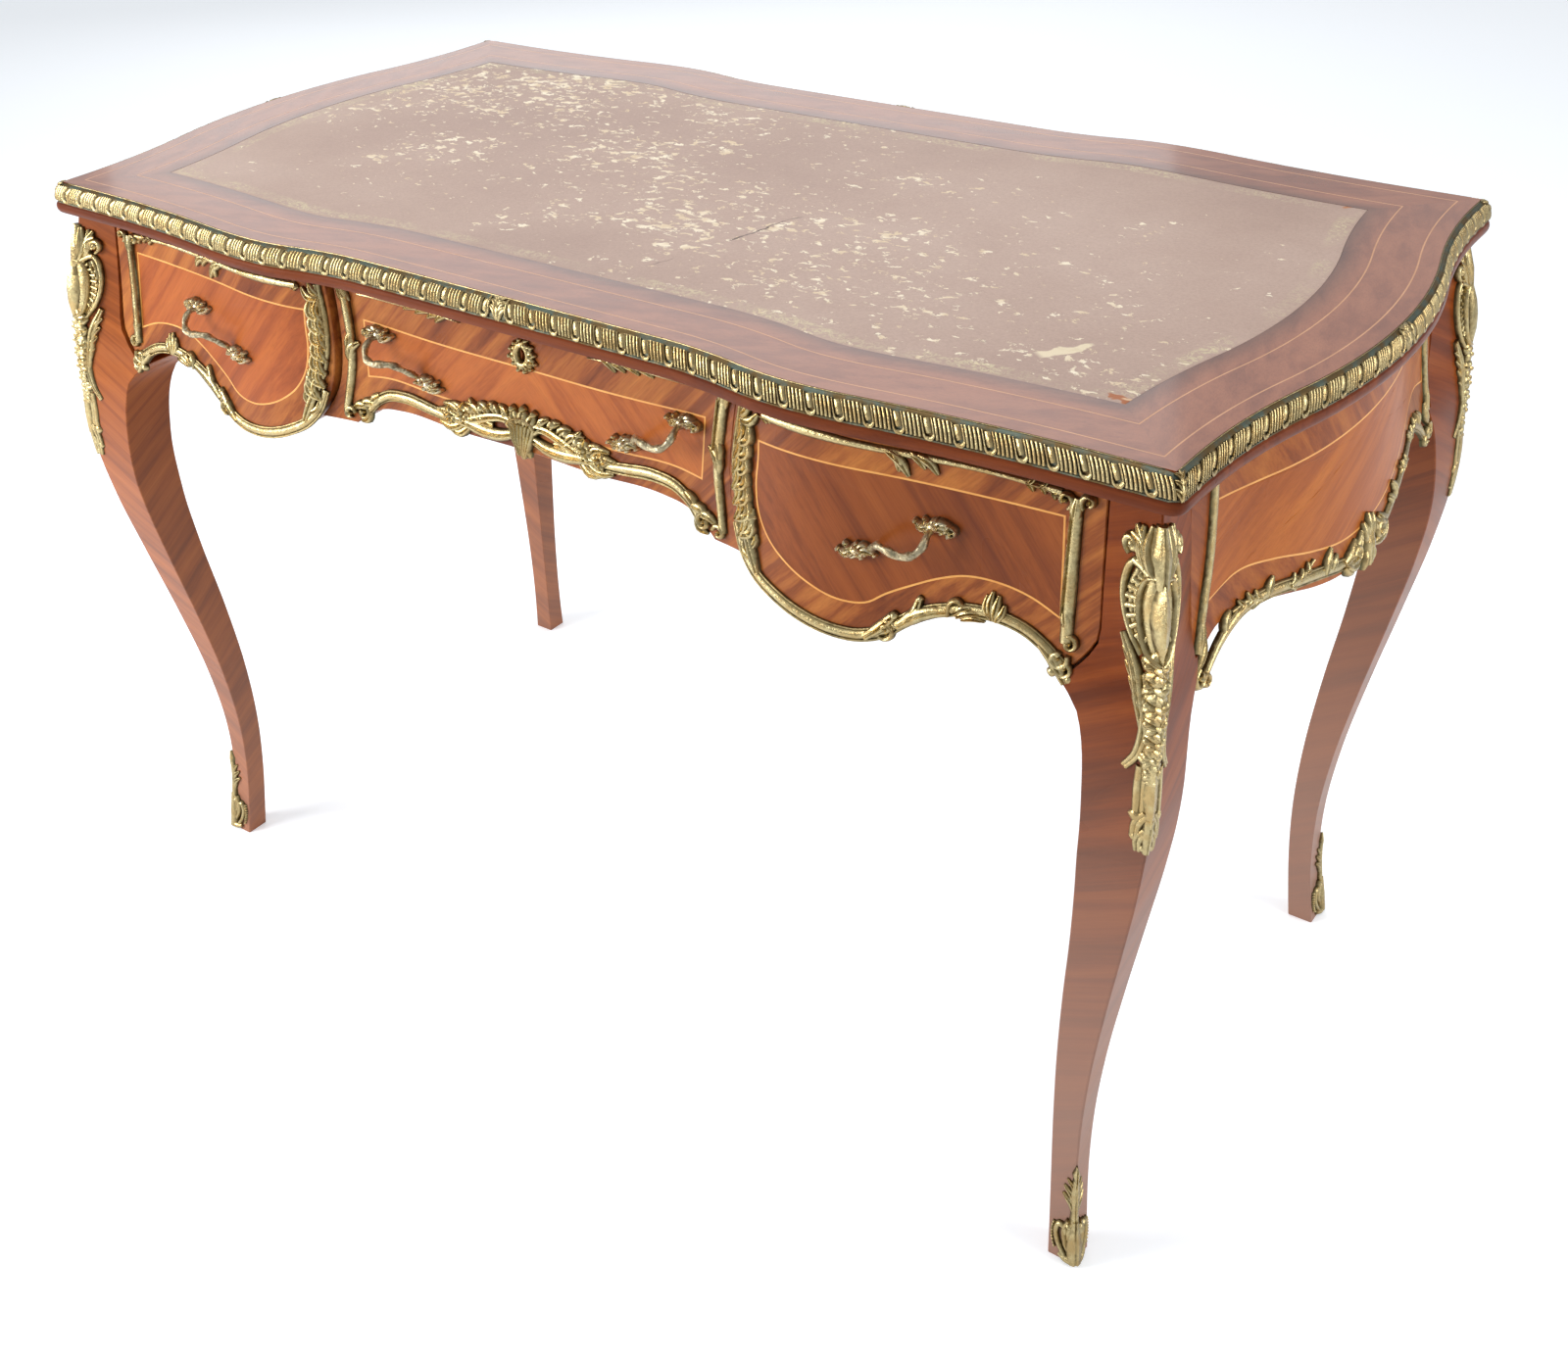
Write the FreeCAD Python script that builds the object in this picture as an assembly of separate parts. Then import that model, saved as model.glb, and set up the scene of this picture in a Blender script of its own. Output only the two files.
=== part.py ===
"""Serpentine writing desk with three frieze drawers, cabriole legs and gilt mounts.

Millimetres, +Z up, the drawers face -Y, the feet stand on Z = 0 and the plan is
centred on the origin. Each node is written to parts/ as its own STEP file.
"""
import FreeCAD, Part
import math
import os

os.makedirs("parts", exist_ok=True)
V = FreeCAD.Vector
X_AXIS, Y_AXIS, Z_AXIS = V(1, 0, 0), V(0, 1, 0), V(0, 0, 1)
ORIGIN = V(0, 0, 0)

# Plan of the top, measured to the inner line of the bronze rim
desk_height = 780.0
half_length = 570.0
half_depth = 300.0
crest_x = 285.0
crest_rise = 14.0
rise_radii = (351.0, 227.0)
fall_radii = (450.0, 1478.0)
bow_rise = 35.4
bow_half_span = 282.0
corner_pass_count = 12
slack = 0.0001
edge_slack = 0.5

# Top
top_thickness = 28.0
rim_height = 18.0
rim_reach = 9.0
rim_round = 5.0
lip_reach = 10.5
corner_cant = 9.0
leather_border = 73.0
leather_thickness = 1.0
mitre_out = 40.0
mitre_in = 60.0

# Carcass faces: (share of a wing drawer's drop, inset behind the rim line)
wing_drop = 168.0
face_rows = ((1.083, -7.0), (0.548, 5.5), (-0.048, 15.0))
face_end_gap = 10.0
side_end_gap = 8.0
front_thickness = 32.0
shell_depth = 12.0
side_thickness = 25.0
centre_setback = 5.0
leg_clearance = 2.0
drawer_gap = 3.5
top_gap = 1.5

# Legs: (share of the height of the knee or drop from the underside of the top, swell of
# the corner from the corner base, width of the section)
corner_in_x = 2.0
corner_out_y = 2.0
knee_drop = 237.0
shank_shares = (
    (0.0, -19.0, 25.5), (0.058, -23.0, 24.5), (0.155, -28.0, 24.0), (0.291, -29.5, 26.0),
    (0.427, -24.0, 30.5), (0.583, -12.0, 36.7), (0.738, 2.0, 42.5), (0.874, 13.5, 49.0))
post_rows = ((knee_drop, 19.5, 54.5), (177.0, 16.5, 60.0), (140.0, 13.5, 73.0),
             (72.0, 6.5, 76.0), (0.0, -6.0, 76.0))
leg_ring_count = 21
arris_flare_share = 0.12
flare_drop = 272.0
shoulder_drop = 140.0
post_width_x = 62.0
post_width_y = 58.0

# Elevation of a wing drawer: shares of its width from the inner edge, of its drop
wing_inner = 217.0
wing_end_gap = 47.0
wing_edge_shares = (
    (0.020, 0.0), (0.005, 0.211), (0.0, 0.408), (0.020, 0.610), (0.075, 0.771),
    (0.180, 0.911), (0.330, 0.998), (0.435, 0.976), (0.520, 0.878), (0.611, 0.753),
    (0.729, 0.708), (0.840, 0.741), (0.941, 0.842))
wing_shoulder_shares = (0.987, 0.771)

# Lower edge of the centre drawer, from the middle: shares of its half width and drop
wing_overlap = 3.0
centre_drop = 132.0
centre_edge_shares = ((0.0, 0.833), (0.35, 0.845), (0.68, 0.833), (0.79, 0.860), (0.87, 0.920))
centre_block_shares = ((0.935, 1.0), (1.2, 1.0))

# Lower edge of a side panel, from the middle: shares of its half width and drop
side_drop = 160.0
side_edge_shares = (
    (0.0, 1.0), (0.19, 0.985), (0.35, 0.940), (0.48, 0.888), (0.64, 0.835),
    (0.75, 0.806), (0.85, 0.812), (0.93, 0.875), (1.0, 0.965))

# Drawer boxes
board_thickness = 10.0
back_room = 106.0
box_top_gap = 15.5
wing_box_share = 0.676
centre_box_share = 0.784
wing_box_in = 19.0
wing_box_out = 23.0
centre_box_in = 9.0
bottom_thickness = 5.0
bottom_rise = 6.0
groove_depth = 5.0

# Carcass members behind the fronts
divider_thickness = 12.0
divider_past_gap = 3.0
carcass_front_gap = 4.0
back_board_thickness = 12.0
top_rail_height = 13.0
top_rail_width = 40.0
back_board_share = 0.8
runner_height = 12.0
runner_width = 22.0
guide_thickness = 12.0
guide_height = 22.0
guide_gap = 3.0
guide_ledge = 14.0
running_gap = 0.3
kicker_height = 14.0
kicker_width = 18.0
stop_length = 14.0
stop_gap = 0.6
block_depth = 30.0
block_place_share = 0.333
block_length = 60.0
block_height = 36.0

# Handle bolts
bolt_radius = 2.2
bolt_hole_radius = 2.8
bolt_head_radius = 5.0
bolt_head_height = 3.0
bolt_bite = 3.0
bolt_room = 0.5
hex_sides = 6
round_sides = 8

# Lock
keyhole_shares = (0.0, 0.186)
keyhole_radius = 3.0
keyhole_slot = 8.0
keyhole_slot_width = 3.2
lock_width = 58.0
lock_height = 32.0
lock_depth = 10.0
bolt_bar_width = 18.0
bolt_bar_depth = 5.0
bolt_bar_height = 1.5
escutcheon_half_width = 13.0
escutcheon_half_height = 16.0
lock_above_key = 7.0
lock_screw_x = 22.0
lock_screw_radius = 3.0
lock_screw_height = 1.5
lock_screw_shares = (0.2, 0.8)

# Bronze mounts
mount_thickness = 3.0
strap_bite = 4.0
mould_width = 10.0
rod_width = 8.5
leaf_width = 13.0
top_rod_width = 5.0
cartouche_half_width = 19.0
cartouche_half_height = 20.0
cartouche_shares = (0.0, 0.686)
side_crest_half_width = 34.0
side_crest_half_height = 19.0
side_crest_shares = (0.0, 0.94)
oval_sides = 14
oval_lobe_count = 2
oval_lobe_share = 0.16

# Mount centre lines: shares of the width and drop used by the edge they follow
wing_mould_shares = (
    (0.110, 0.790), (0.215, 0.905), (0.345, 0.960), (0.470, 0.905), (0.590, 0.735),
    (0.740, 0.675), (0.925, 0.790))
wing_leaf_shares = ((0.050, 0.035), (0.028, 0.300), (0.042, 0.560), (0.090, 0.740))
wing_rod_shares = ((0.925, 0.060), (0.930, 0.450), (0.955, 0.725))
wing_top_rod_shares = ((0.200, 0.075), (0.550, 0.085), (0.885, 0.075))
centre_mould_shares = ((0.110, 0.735), (0.400, 0.764), (0.620, 0.725), (0.740, 0.735),
                       (0.830, 0.800), (0.880, 0.880))
centre_rod_shares = ((0.965, 0.040), (0.930, 0.480), (0.945, 0.900))
side_mould_shares = ((0.160, 0.945), (0.420, 0.868), (0.640, 0.790), (0.790, 0.762),
                     (0.900, 0.820), (0.965, 0.930))
side_rod_shares = ((0.870, 0.060), (0.920, 0.500), (0.955, 0.850))

# Knee mounts, by drop and reach, and sabots, by height and reach, on the corner of a leg
knee_rows = ((255.0, 5.0), (217.0, 12.0), (142.0, 18.0), (67.0, 27.0), (27.0, 17.0),
             (8.0, 9.0))
sabot_rows = ((0.0, 21.0), (22.0, 21.0), (50.0, 16.0), (98.0, 3.0))
knee_thickness = 4.5
sabot_thickness = 3.5
wrap_bite = 4.0
toe_reach = 17.0
toe_radius = 9.0

# Handles: the bar as (outward, up, off the face) from the upper rosette, and the
# rosette with its stem as (radius, off the face)
handle_path = ((4.0, 3.0, 19.0), (0.0, -6.0, 22.5), (-10.0, -15.0, 26.0), (-30.0, -17.5, 27.5),
               (-52.0, -17.5, 26.0), (-62.0, -26.0, 22.5), (-68.0, -37.0, 19.0))
handle_radius = 4.6
lower_rosette = (-65.0, -33.0)
rosette_rings = ((11.0, -5.0), (11.0, 2.0), (4.5, 7.0), (4.0, 21.0))
wing_handle_shares = (0.588, 0.366)
centre_handle_shares = (0.776, 0.330)

# Derived heights and planes
top_under = desk_height - top_thickness
apron_top = top_under - top_gap
lip_top = desk_height - rim_height
far = half_length + half_depth
face_profile = [(top_under - share * wing_drop, inset) for share, inset in face_rows]
front_plate_back = half_depth - front_thickness
side_back = half_length - side_thickness
wing_outer = half_length - wing_end_gap
centre_half_width = wing_inner - wing_overlap
corner_base_x = half_length - corner_in_x
corner_base_y = half_depth + corner_out_y
post_inner_x = half_length - post_width_x
post_inner_y = half_depth - post_width_y
knee_height = top_under - knee_drop
leg_profile = [(share * knee_height, swell, width) for share, swell, width in shank_shares]
leg_profile += [(top_under - drop, swell, width) for drop, swell, width in post_rows]
box_top = apron_top - box_top_gap
box_back = front_plate_back - back_room
wing_box_bottom = apron_top - wing_box_share * wing_drop
centre_box_bottom = apron_top - centre_box_share * centre_drop
wing_box_inner = wing_inner + wing_box_in
wing_box_outer = wing_outer - wing_box_out
centre_box_half = centre_half_width - centre_box_in
carcass_front = front_plate_back - carcass_front_gap
carcass_back = front_plate_back - back_board_thickness

# Bends of the top's edges; a turn is positive where an edge bends outwards
rise_turn = math.acos(1 - crest_rise / sum(rise_radii))
fall_turn = math.acos(1 - crest_rise / sum(fall_radii))
long_straight = crest_x - sum(rise_radii) * math.sin(rise_turn)
long_arcs = ((rise_radii[0], rise_turn), (rise_radii[1], -rise_turn),
             (fall_radii[0], -fall_turn), (fall_radii[1], fall_turn))
short_turn = 2 * math.atan(bow_rise / bow_half_span)
short_radius = bow_half_span / math.sin(short_turn) / 2
short_arcs = ((short_radius, -short_turn), (short_radius, short_turn))


def run(straight, arcs, base, grow):
    """Half of an edge as (start, end, centre, bend) arcs of (along, out) points."""
    t, r, heading = straight, base + grow, 0.0
    pieces = []
    for radius, turn in arcs:
        side = math.copysign(1, turn)
        bend = side * (radius - side * grow)
        centre = (t - bend * math.sin(heading), r + bend * math.cos(heading))
        heading += turn
        end = (centre[0] + bend * math.sin(heading), centre[1] - bend * math.cos(heading))
        pieces.append(((t, r), end, centre, bend))
        t, r = end
    return pieces


def reach_of(pieces, t):
    """How far out an edge lies at a distance along it."""
    t = abs(t)
    for start, end, centre, bend in pieces:
        if start[0] <= t <= end[0]:
            return centre[1] - math.copysign(math.sqrt(bend ** 2 - (t - centre[0]) ** 2), bend)
    return pieces[0][0][1] if t < pieces[0][0][0] else pieces[-1][1][1]


def front_run(grow):
    return run(long_straight, long_arcs, half_depth, grow)


def end_run(grow):
    return run(0, short_arcs, half_length + bow_rise, grow)


def corner(grow):
    """Where the long and short edges meet once both are moved outwards by grow."""
    x, y = half_length + grow, half_depth + grow
    for _ in range(corner_pass_count):
        x = reach_of(end_run(grow), y)
        y = reach_of(front_run(grow), x)
    return x, y


def edge_run(pieces, stop, place):
    """Edges of one side from -stop to stop, set in the plan by place(along, out)."""
    marks = sorted({0, min(stop, pieces[0][0][0])} | {min(stop, p[1][0]) for p in pieces} | {stop})
    edges = []
    for start, end in zip(marks, marks[1:]):
        if end - start < slack:
            continue
        a, m, b = ((t, reach_of(pieces, t)) for t in (start, (start + end) / 2, end))
        straight = abs(a[1] - m[1]) + abs(b[1] - m[1]) < slack
        for sign in (-1, 1):
            p, q, r = (place(sign * t, out) for t, out in (a, m, b))
            edges.append(Part.makeLine(p, r) if straight else Part.Arc(p, q, r).toShape())
    return edges


def front_edges(grow, z, stop, side=-1):
    return edge_run(front_run(grow), stop, lambda t, r: V(t, side * r, z))


def end_edges(grow, z, stop, side=1):
    return edge_run(end_run(grow), stop, lambda t, r: V(side * r, t, z))


def curve(points):
    """Arcs through each three points in turn, with a line for an odd one left over."""
    edges = [Part.Arc(*points[i:i + 3]).toShape() for i in range(0, len(points) - 2, 2)]
    if len(points) % 2 == 0:
        edges.append(Part.makeLine(points[-2], points[-1]))
    return edges


def steps(start, stop, count):
    return [start + (stop - start) * i / count for i in range(count + 1)]


def closed_wire(edges):
    return Part.Wire(Part.__sortEdges__(edges))


def closed_face(edges):
    return Part.Face(closed_wire(edges))


def outline_prism(grow, bottom, top, cant=0):
    """A slab with the outline of the top moved outwards by grow, its corners canted."""
    x, y = corner(grow)
    edges = []
    for side in (-1, 1):
        edges += front_edges(grow, bottom, x, side) + end_edges(grow, bottom, y, side)
    slab = closed_face(edges).extrude(V(0, 0, top - bottom))
    if cant:
        upright = [e for e in slab.Edges if e.BoundBox.ZLength > edge_slack
                   and abs(abs(e.BoundBox.XMax) + abs(e.BoundBox.YMax) - x - y) < edge_slack]
        slab = slab.makeChamfer(cant, upright)
    return slab


def edges_at(shape, height):
    return [e for e in shape.Edges
            if abs(e.BoundBox.ZMin - height) + abs(e.BoundBox.ZMax - height) < edge_slack]


def box(x0, x1, y0, y1, z0, z1):
    return Part.makeBox(x1 - x0, y1 - y0, z1 - z0, V(x0, y0, z0))


def mirrored_x(shape):
    return shape.mirror(ORIGIN, X_AXIS)


def mirrored_y(shape):
    return shape.mirror(ORIGIN, Y_AXIS)


def turned(shape):
    """The shape turned half a turn about the upright axis of the desk."""
    copy = shape.copy()
    copy.rotate(ORIGIN, Z_AXIS, 180)
    return copy


def moved(shape, x=0, y=0, z=0):
    copy = shape.copy()
    copy.translate(V(x, y, z))
    return copy


def joined(shapes):
    first, rest = shapes[0], shapes[1:]
    return first.fuse(rest).removeSplitter() if rest else first


def flat_face(points):
    return Part.Face(Part.makePolygon(points + points[:1]))


def ruled(rings):
    """A solid of flat faces through rings of points, each ring joined to the next."""
    faces = [flat_face(rings[0]), flat_face(rings[-1])]
    for low, high in zip(rings, rings[1:]):
        for i, a in enumerate(low):
            b, c, d = low[i - 1], high[i - 1], high[i]
            if abs((b - a).cross(c - a).normalize().dot(d - a)) < slack:
                faces.append(flat_face([a, b, c, d]))
            else:
                faces += [flat_face([a, b, c]), flat_face([a, c, d])]
    solid = Part.makeSolid(Part.makeShell(faces))
    if solid.Volume < 0:
        solid.reverse()
    return solid


def shell(edges_of, half_span, back_of):
    """A swelling face lofted through its plan at each height of the profile."""
    rings = []
    for height, inset in face_profile:
        edges = edges_of(-inset, height, half_span)
        ends = sorted((v.Point for e in edges for v in e.Vertexes), key=lambda p: p.x + p.y)
        rings.append(closed_wire(edges + back_of(inset, height, ends[0], ends[-1])))
    return Part.makeLoft(rings, True, True)


def flat_back(inset, height, first, last):
    a, b = (V(p.x, shell_depth - front_plate_back, height) for p in (first, last))
    return [Part.makeLine(first, a), Part.makeLine(a, b), Part.makeLine(b, last)]


def flat_side_back(inset, height, first, last):
    a, b = (V(side_back, p.y, height) for p in (first, last))
    return [Part.makeLine(first, a), Part.makeLine(a, b), Part.makeLine(b, last)]


def wing_point(share):
    across, down = share
    return V(wing_inner + across * (wing_outer - wing_inner), -far, apron_top - down * wing_drop)


def centre_point(share, side=1):
    across, down = share
    return V(side * across * centre_half_width, -far, apron_top - down * centre_drop)


def side_point(share, side=1):
    across, down = share
    return V(far, side * across * post_inner_y, apron_top - down * side_drop)


def wing_prism():
    edge = [wing_point(s) for s in wing_edge_shares]
    corners = [edge[-1], wing_point(wing_shoulder_shares), wing_point((1, 0)), edge[0]]
    edges = curve(edge) + [Part.makeLine(a, b) for a, b in zip(corners, corners[1:])]
    return closed_face(edges).extrude(V(0, far - front_plate_back, 0))


def centre_prism(wing):
    """Outline of the centre drawer, cut to follow the inner edges of the wings."""
    half = [centre_point(s) for s in centre_edge_shares]
    other = [centre_point(s, -1) for s in reversed(centre_edge_shares[1:])]
    ends = [centre_point(s) for s in centre_block_shares]
    far_ends = [centre_point(s, -1) for s in centre_block_shares]
    top = apron_top
    ring = [half[-1], ends[0], ends[1], V(ends[1].x, -far, top), V(-ends[1].x, -far, top),
            far_ends[1], far_ends[0], other[0]]
    edges = curve(other + half) + [Part.makeLine(a, b) for a, b in zip(ring, ring[1:])]
    prism = closed_face(edges).extrude(V(0, far - front_plate_back, 0))
    return prism.cut([moved(wing, x=-drawer_gap), mirrored_x(moved(wing, x=-drawer_gap))])


def side_prism():
    edge = [side_point(s) for s in side_edge_shares]
    other = [side_point(s, -1) for s in reversed(side_edge_shares[1:])]
    line = other + edge
    top = [V(far, line[-1].y, top_under), V(far, line[0].y, top_under)]
    edges = curve(line) + [Part.makeLine(line[-1], top[0]), Part.makeLine(*top),
                           Part.makeLine(top[1], line[0])]
    return closed_face(edges).extrude(V(-far, 0, 0))


def strap(points, width, normal, body):
    """A band of even width along a centre line on a body, flat across its face."""
    rings = []
    for i, p in enumerate(points):
        along = points[min(i + 1, len(points) - 1)].sub(points[max(i - 1, 0)])
        across = along.cross(normal).normalize() * (width / 2)
        up, down = normal * -mount_thickness, normal * strap_bite
        rings.append([p + across + up, p - across + up, p - across + down, p + across + down])
    return ruled(rings).cut(body)


def plate(points, depth):
    """The flat shape inside a ring of points, drawn out by a vector."""
    return flat_face(points).extrude(depth)


def round_ring(centre, radius, sides, normal=Y_AXIS):
    """An even ring of points round an axis through centre."""
    across = normal.cross(Z_AXIS)
    turns = steps(0, 2 * math.pi, sides)[:-1]
    return [centre + across * (radius * math.cos(t)) + Z_AXIS * (radius * math.sin(t))
            for t in turns]


def boss(centre, half_width, half_height, normal, body):
    """A lobed oval mount on a body, flat across its face."""
    across = normal.cross(Z_AXIS)
    ring = []
    for turn in steps(0, 2 * math.pi, oval_sides)[:-1]:
        lobe = 1 - oval_lobe_share * math.cos(oval_lobe_count * turn) ** 2
        ring.append(centre - normal * mount_thickness
                    + across * (half_width * lobe * math.cos(turn))
                    + Z_AXIS * (half_height * lobe * math.sin(turn)))
    return plate(ring, normal * (mount_thickness + strap_bite)).cut(body)


def leg_corners(swell, width, height, share=arris_flare_share):
    """The four corners of a leg section at the right-hand front corner."""
    a, b = corner_base_x + swell, corner_base_y + swell
    ease = width * share * max(0, 1 - (top_under - height) / flare_drop)
    return [V(a, -b, height), V(a - width, -b + ease, height),
            V(a - width, -b + width, height), V(a - ease, -b + width, height)]


def leg_at(height):
    """Swell and width of the leg at a height, between two of its rings."""
    for low, high in zip(leg_rings, leg_rings[1:]):
        if height <= high[0]:
            t = (height - low[0]) / (high[0] - low[0])
            return low[1] + t * (high[1] - low[1]), low[2] + t * (high[2] - low[2])
    return leg_rings[-1][1:]


def leg(wing):
    """The right-hand front leg: one long swept shape, cut back for drawer and box."""
    solid = ruled([leg_corners(swell, width, z) for z, swell, width in leg_rings])
    room = [moved(wing, x, 0, z) for x in (0, leg_clearance) for z in (0, -leg_clearance)]
    room += [moved(r, 0, leg_clearance, 0) for r in room]
    shoulder = top_under - shoulder_drop
    room.append(box(0, post_inner_x, -far, 0, shoulder, desk_height))
    room.append(box(0, far, -post_inner_y, 0, shoulder, desk_height))
    return solid.cut(room)


def wrap(rows, thickness, body):
    """A plate bent round the corner of a leg and seated on it."""
    rings = []
    for height, reach in rows:
        swell, width = leg_at(height)
        a, mid, _, b = leg_corners(swell, width, height)
        along_x = mid.sub(a).normalize() * reach
        along_y = b.sub(a).normalize() * reach
        inward = V(-1, 1, 0).normalize() * wrap_bite
        outward = V(1, -1, 0).normalize() * thickness
        rings.append([a.add(outward), a.add(along_x).add(V(0, -thickness / 2, 0)),
                      a.add(along_x).add(inward), a.add(inward), a.add(along_y).add(inward),
                      a.add(along_y).add(V(thickness / 2, 0, 0))])
    return ruled(rings).cut(body)


def toe():
    """The scrolled toe of a sabot, pointing out along the diagonal."""
    swell, _ = leg_at(0)
    at = V(corner_base_x + swell, -corner_base_y - swell, toe_radius)
    roll = plate(round_ring(V(toe_reach, -toe_radius, 0), toe_radius, round_sides),
                 V(0, toe_radius * 2, 0))
    neck = box(-wrap_bite, toe_reach, -toe_radius, toe_radius, -toe_radius, 0)
    scroll = roll.fuse(neck)
    scroll.rotate(ORIGIN, Z_AXIS, -45)
    scroll.translate(at)
    return scroll


def inset_at(height):
    """How far a face lies behind the rim line at a height."""
    for low, high in zip(face_profile, face_profile[1:]):
        if height <= high[0]:
            t = (height - low[0]) / (high[0] - low[0])
            return low[1] + t * (high[1] - low[1])
    return face_profile[-1][1]


def on_front(point, setback=0):
    """The point of the front face straight behind another point."""
    return V(point.x, setback - reach_of(front_run(-inset_at(point.z)), point.x), point.z)


def on_side(point):
    """The point of the right-hand end face level with another point."""
    return V(reach_of(end_run(-inset_at(point.z)), point.y), point.y, point.z)


def rosette_points(at):
    return (at, at + V(lower_rosette[0], 0, lower_rosette[1]))


def handle(at, setback, front):
    """A cast S pull: a bar carried by two rosettes that seat on the front."""
    rings = []
    for across, up, off in handle_path:
        middle = on_front(at + V(across, 0, up), setback) - V(0, off, 0)
        rings.append(round_ring(middle, handle_radius, hex_sides, X_AXIS))
    pull = ruled(rings)
    for point in rosette_points(at):
        seat = on_front(point, setback)
        pull = pull.fuse(ruled([round_ring(seat - V(0, off, 0), radius, round_sides)
                                for radius, off in rosette_rings]))
    return pull.cut(front)


def bolts(at, setback):
    """The two bolts of a handle and the room that each needs."""
    made, rooms = [], []
    for point in rosette_points(at):
        inside = V(point.x, -front_plate_back, point.z)
        length = inside.y - on_front(inside, setback).y + bolt_bite
        head = plate(round_ring(inside, bolt_head_radius, hex_sides), V(0, bolt_head_height, 0))
        shank = plate(round_ring(inside, bolt_radius, hex_sides), V(0, -length, 0))
        made.append(head.fuse(shank))
        rooms.append(plate(round_ring(inside, bolt_hole_radius, hex_sides),
                           V(0, -length - bolt_room, 0)))
    return made, rooms


def drawer_box(inner, outer, bottom):
    """Sides, back and bottom of a box between two x positions."""
    floor = bottom + bottom_rise
    tray = box(inner + board_thickness - groove_depth, outer - board_thickness + groove_depth,
               -front_plate_back, box_back, floor, floor + bottom_thickness)
    sides = [box(x, x + board_thickness, -front_plate_back, box_back, bottom, box_top).cut(tray)
             for x in (inner, outer - board_thickness)]
    rear = box(inner + board_thickness, outer - board_thickness, box_back - board_thickness, box_back,
               floor + bottom_thickness, box_top)
    return sides, rear, tray


def ledge(x0, x1, top):
    return box(x0, x1, -carcass_front, carcass_back, top - runner_height, top)


def stop(x0, x1, top):
    start = box_back + stop_gap
    return box(x0, x1, start, start + stop_length, top, top + stop_length)


def write(name, shape):
    shape.exportStep("parts/" + name + ".step")


def group(shapes):
    solids = [s for shape in shapes for s in shape.Solids]
    return Part.makeCompound(solids)


def all_corners(shape):
    return group([shape, mirrored_x(shape), mirrored_y(shape), turned(shape)])


# Leg rings: the profile table smoothed by a curve through its rows
leg_line = Part.BSplineCurve()
leg_line.interpolate([V(*row) for row in leg_profile])
leg_rings = [tuple(leg_line.value(t)) for t in
             steps(leg_line.FirstParameter, leg_line.LastParameter, leg_ring_count)]

# Top: board with its lip, rim and leather
board = outline_prism(0, lip_top, desk_height)
lip = outline_prism(lip_reach, top_under, lip_top, corner_cant)
rim = outline_prism(rim_reach, lip_top, desk_height, corner_cant)
rim = rim.makeChamfer(rim_round, edges_at(rim, desk_height)).cut(board)
leather = outline_prism(-leather_border, desk_height - leather_thickness, desk_height)
write("top_panel", joined([board, lip]).cut(leather))
write("leather_inset", leather)
wedge_x, wedge_y = half_length + mitre_out, half_depth + mitre_out
near_x, near_y = half_length - mitre_in, half_depth - mitre_in
long_wedge = Part.makePolygon([V(-wedge_x, -wedge_y, 0), V(wedge_x, -wedge_y, 0),
                               V(near_x, -near_y, 0), V(-near_x, -near_y, 0),
                               V(-wedge_x, -wedge_y, 0)])
long_wedge = Part.Face(long_wedge).extrude(V(0, 0, desk_height))
rim_front = rim.common(long_wedge)
rim_back = rim.common(mirrored_y(long_wedge))
rim_ends = rim.cut([long_wedge, mirrored_y(long_wedge)])
write("rim_front", rim_front)
write("rim_back", rim_back)
write("rim_right", max(rim_ends.Solids, key=lambda s: s.CenterOfMass.x))
write("rim_left", min(rim_ends.Solids, key=lambda s: s.CenterOfMass.x))

# Swelling faces and the outlines of the fronts
front_solid = shell(front_edges, half_length - face_end_gap, flat_back)
centre_solid = moved(front_solid, y=centre_setback)
side_solid = shell(end_edges, half_depth - side_end_gap, flat_side_back)
wing_outline = wing_prism()
wing_front = front_solid.common(wing_outline)
centre_front = centre_solid.common(centre_prism(wing_outline))

# Legs with their knee mounts and sabots
right_leg = leg(wing_outline)
knee_heights = [(top_under - drop, reach) for drop, reach in knee_rows]
knee_mount = wrap(knee_heights, knee_thickness, right_leg)
sabot = wrap(sabot_rows, sabot_thickness, right_leg).fuse(toe()).cut(right_leg)
write("leg_front_right", right_leg)
write("leg_front_left", mirrored_x(right_leg))
write("leg_back_right", mirrored_y(right_leg))
write("leg_back_left", turned(right_leg))
write("knee_mounts", all_corners(knee_mount))
write("sabots", all_corners(sabot))

# Ends
both_legs = [right_leg, mirrored_y(right_leg)]
side_panel = side_solid.common(side_prism()).cut(both_legs)
side_straps = []
for side in (-1, 1):
    for shares, width in ((side_mould_shares, mould_width), (side_rod_shares, rod_width)):
        line = [on_side(side_point(s, side)) for s in shares]
        side_straps.append(strap(line, width, -X_AXIS, side_solid))
side_crest = boss(on_side(side_point(side_crest_shares)), side_crest_half_width,
                  side_crest_half_height, -X_AXIS, side_solid)
side_mounts = group([joined(side_straps + [side_crest]).cut(both_legs)])
write("side_panel_right", side_panel)
write("side_panel_left", turned(side_panel))
write("side_mounts", group([side_mounts, turned(side_mounts)]))

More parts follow.
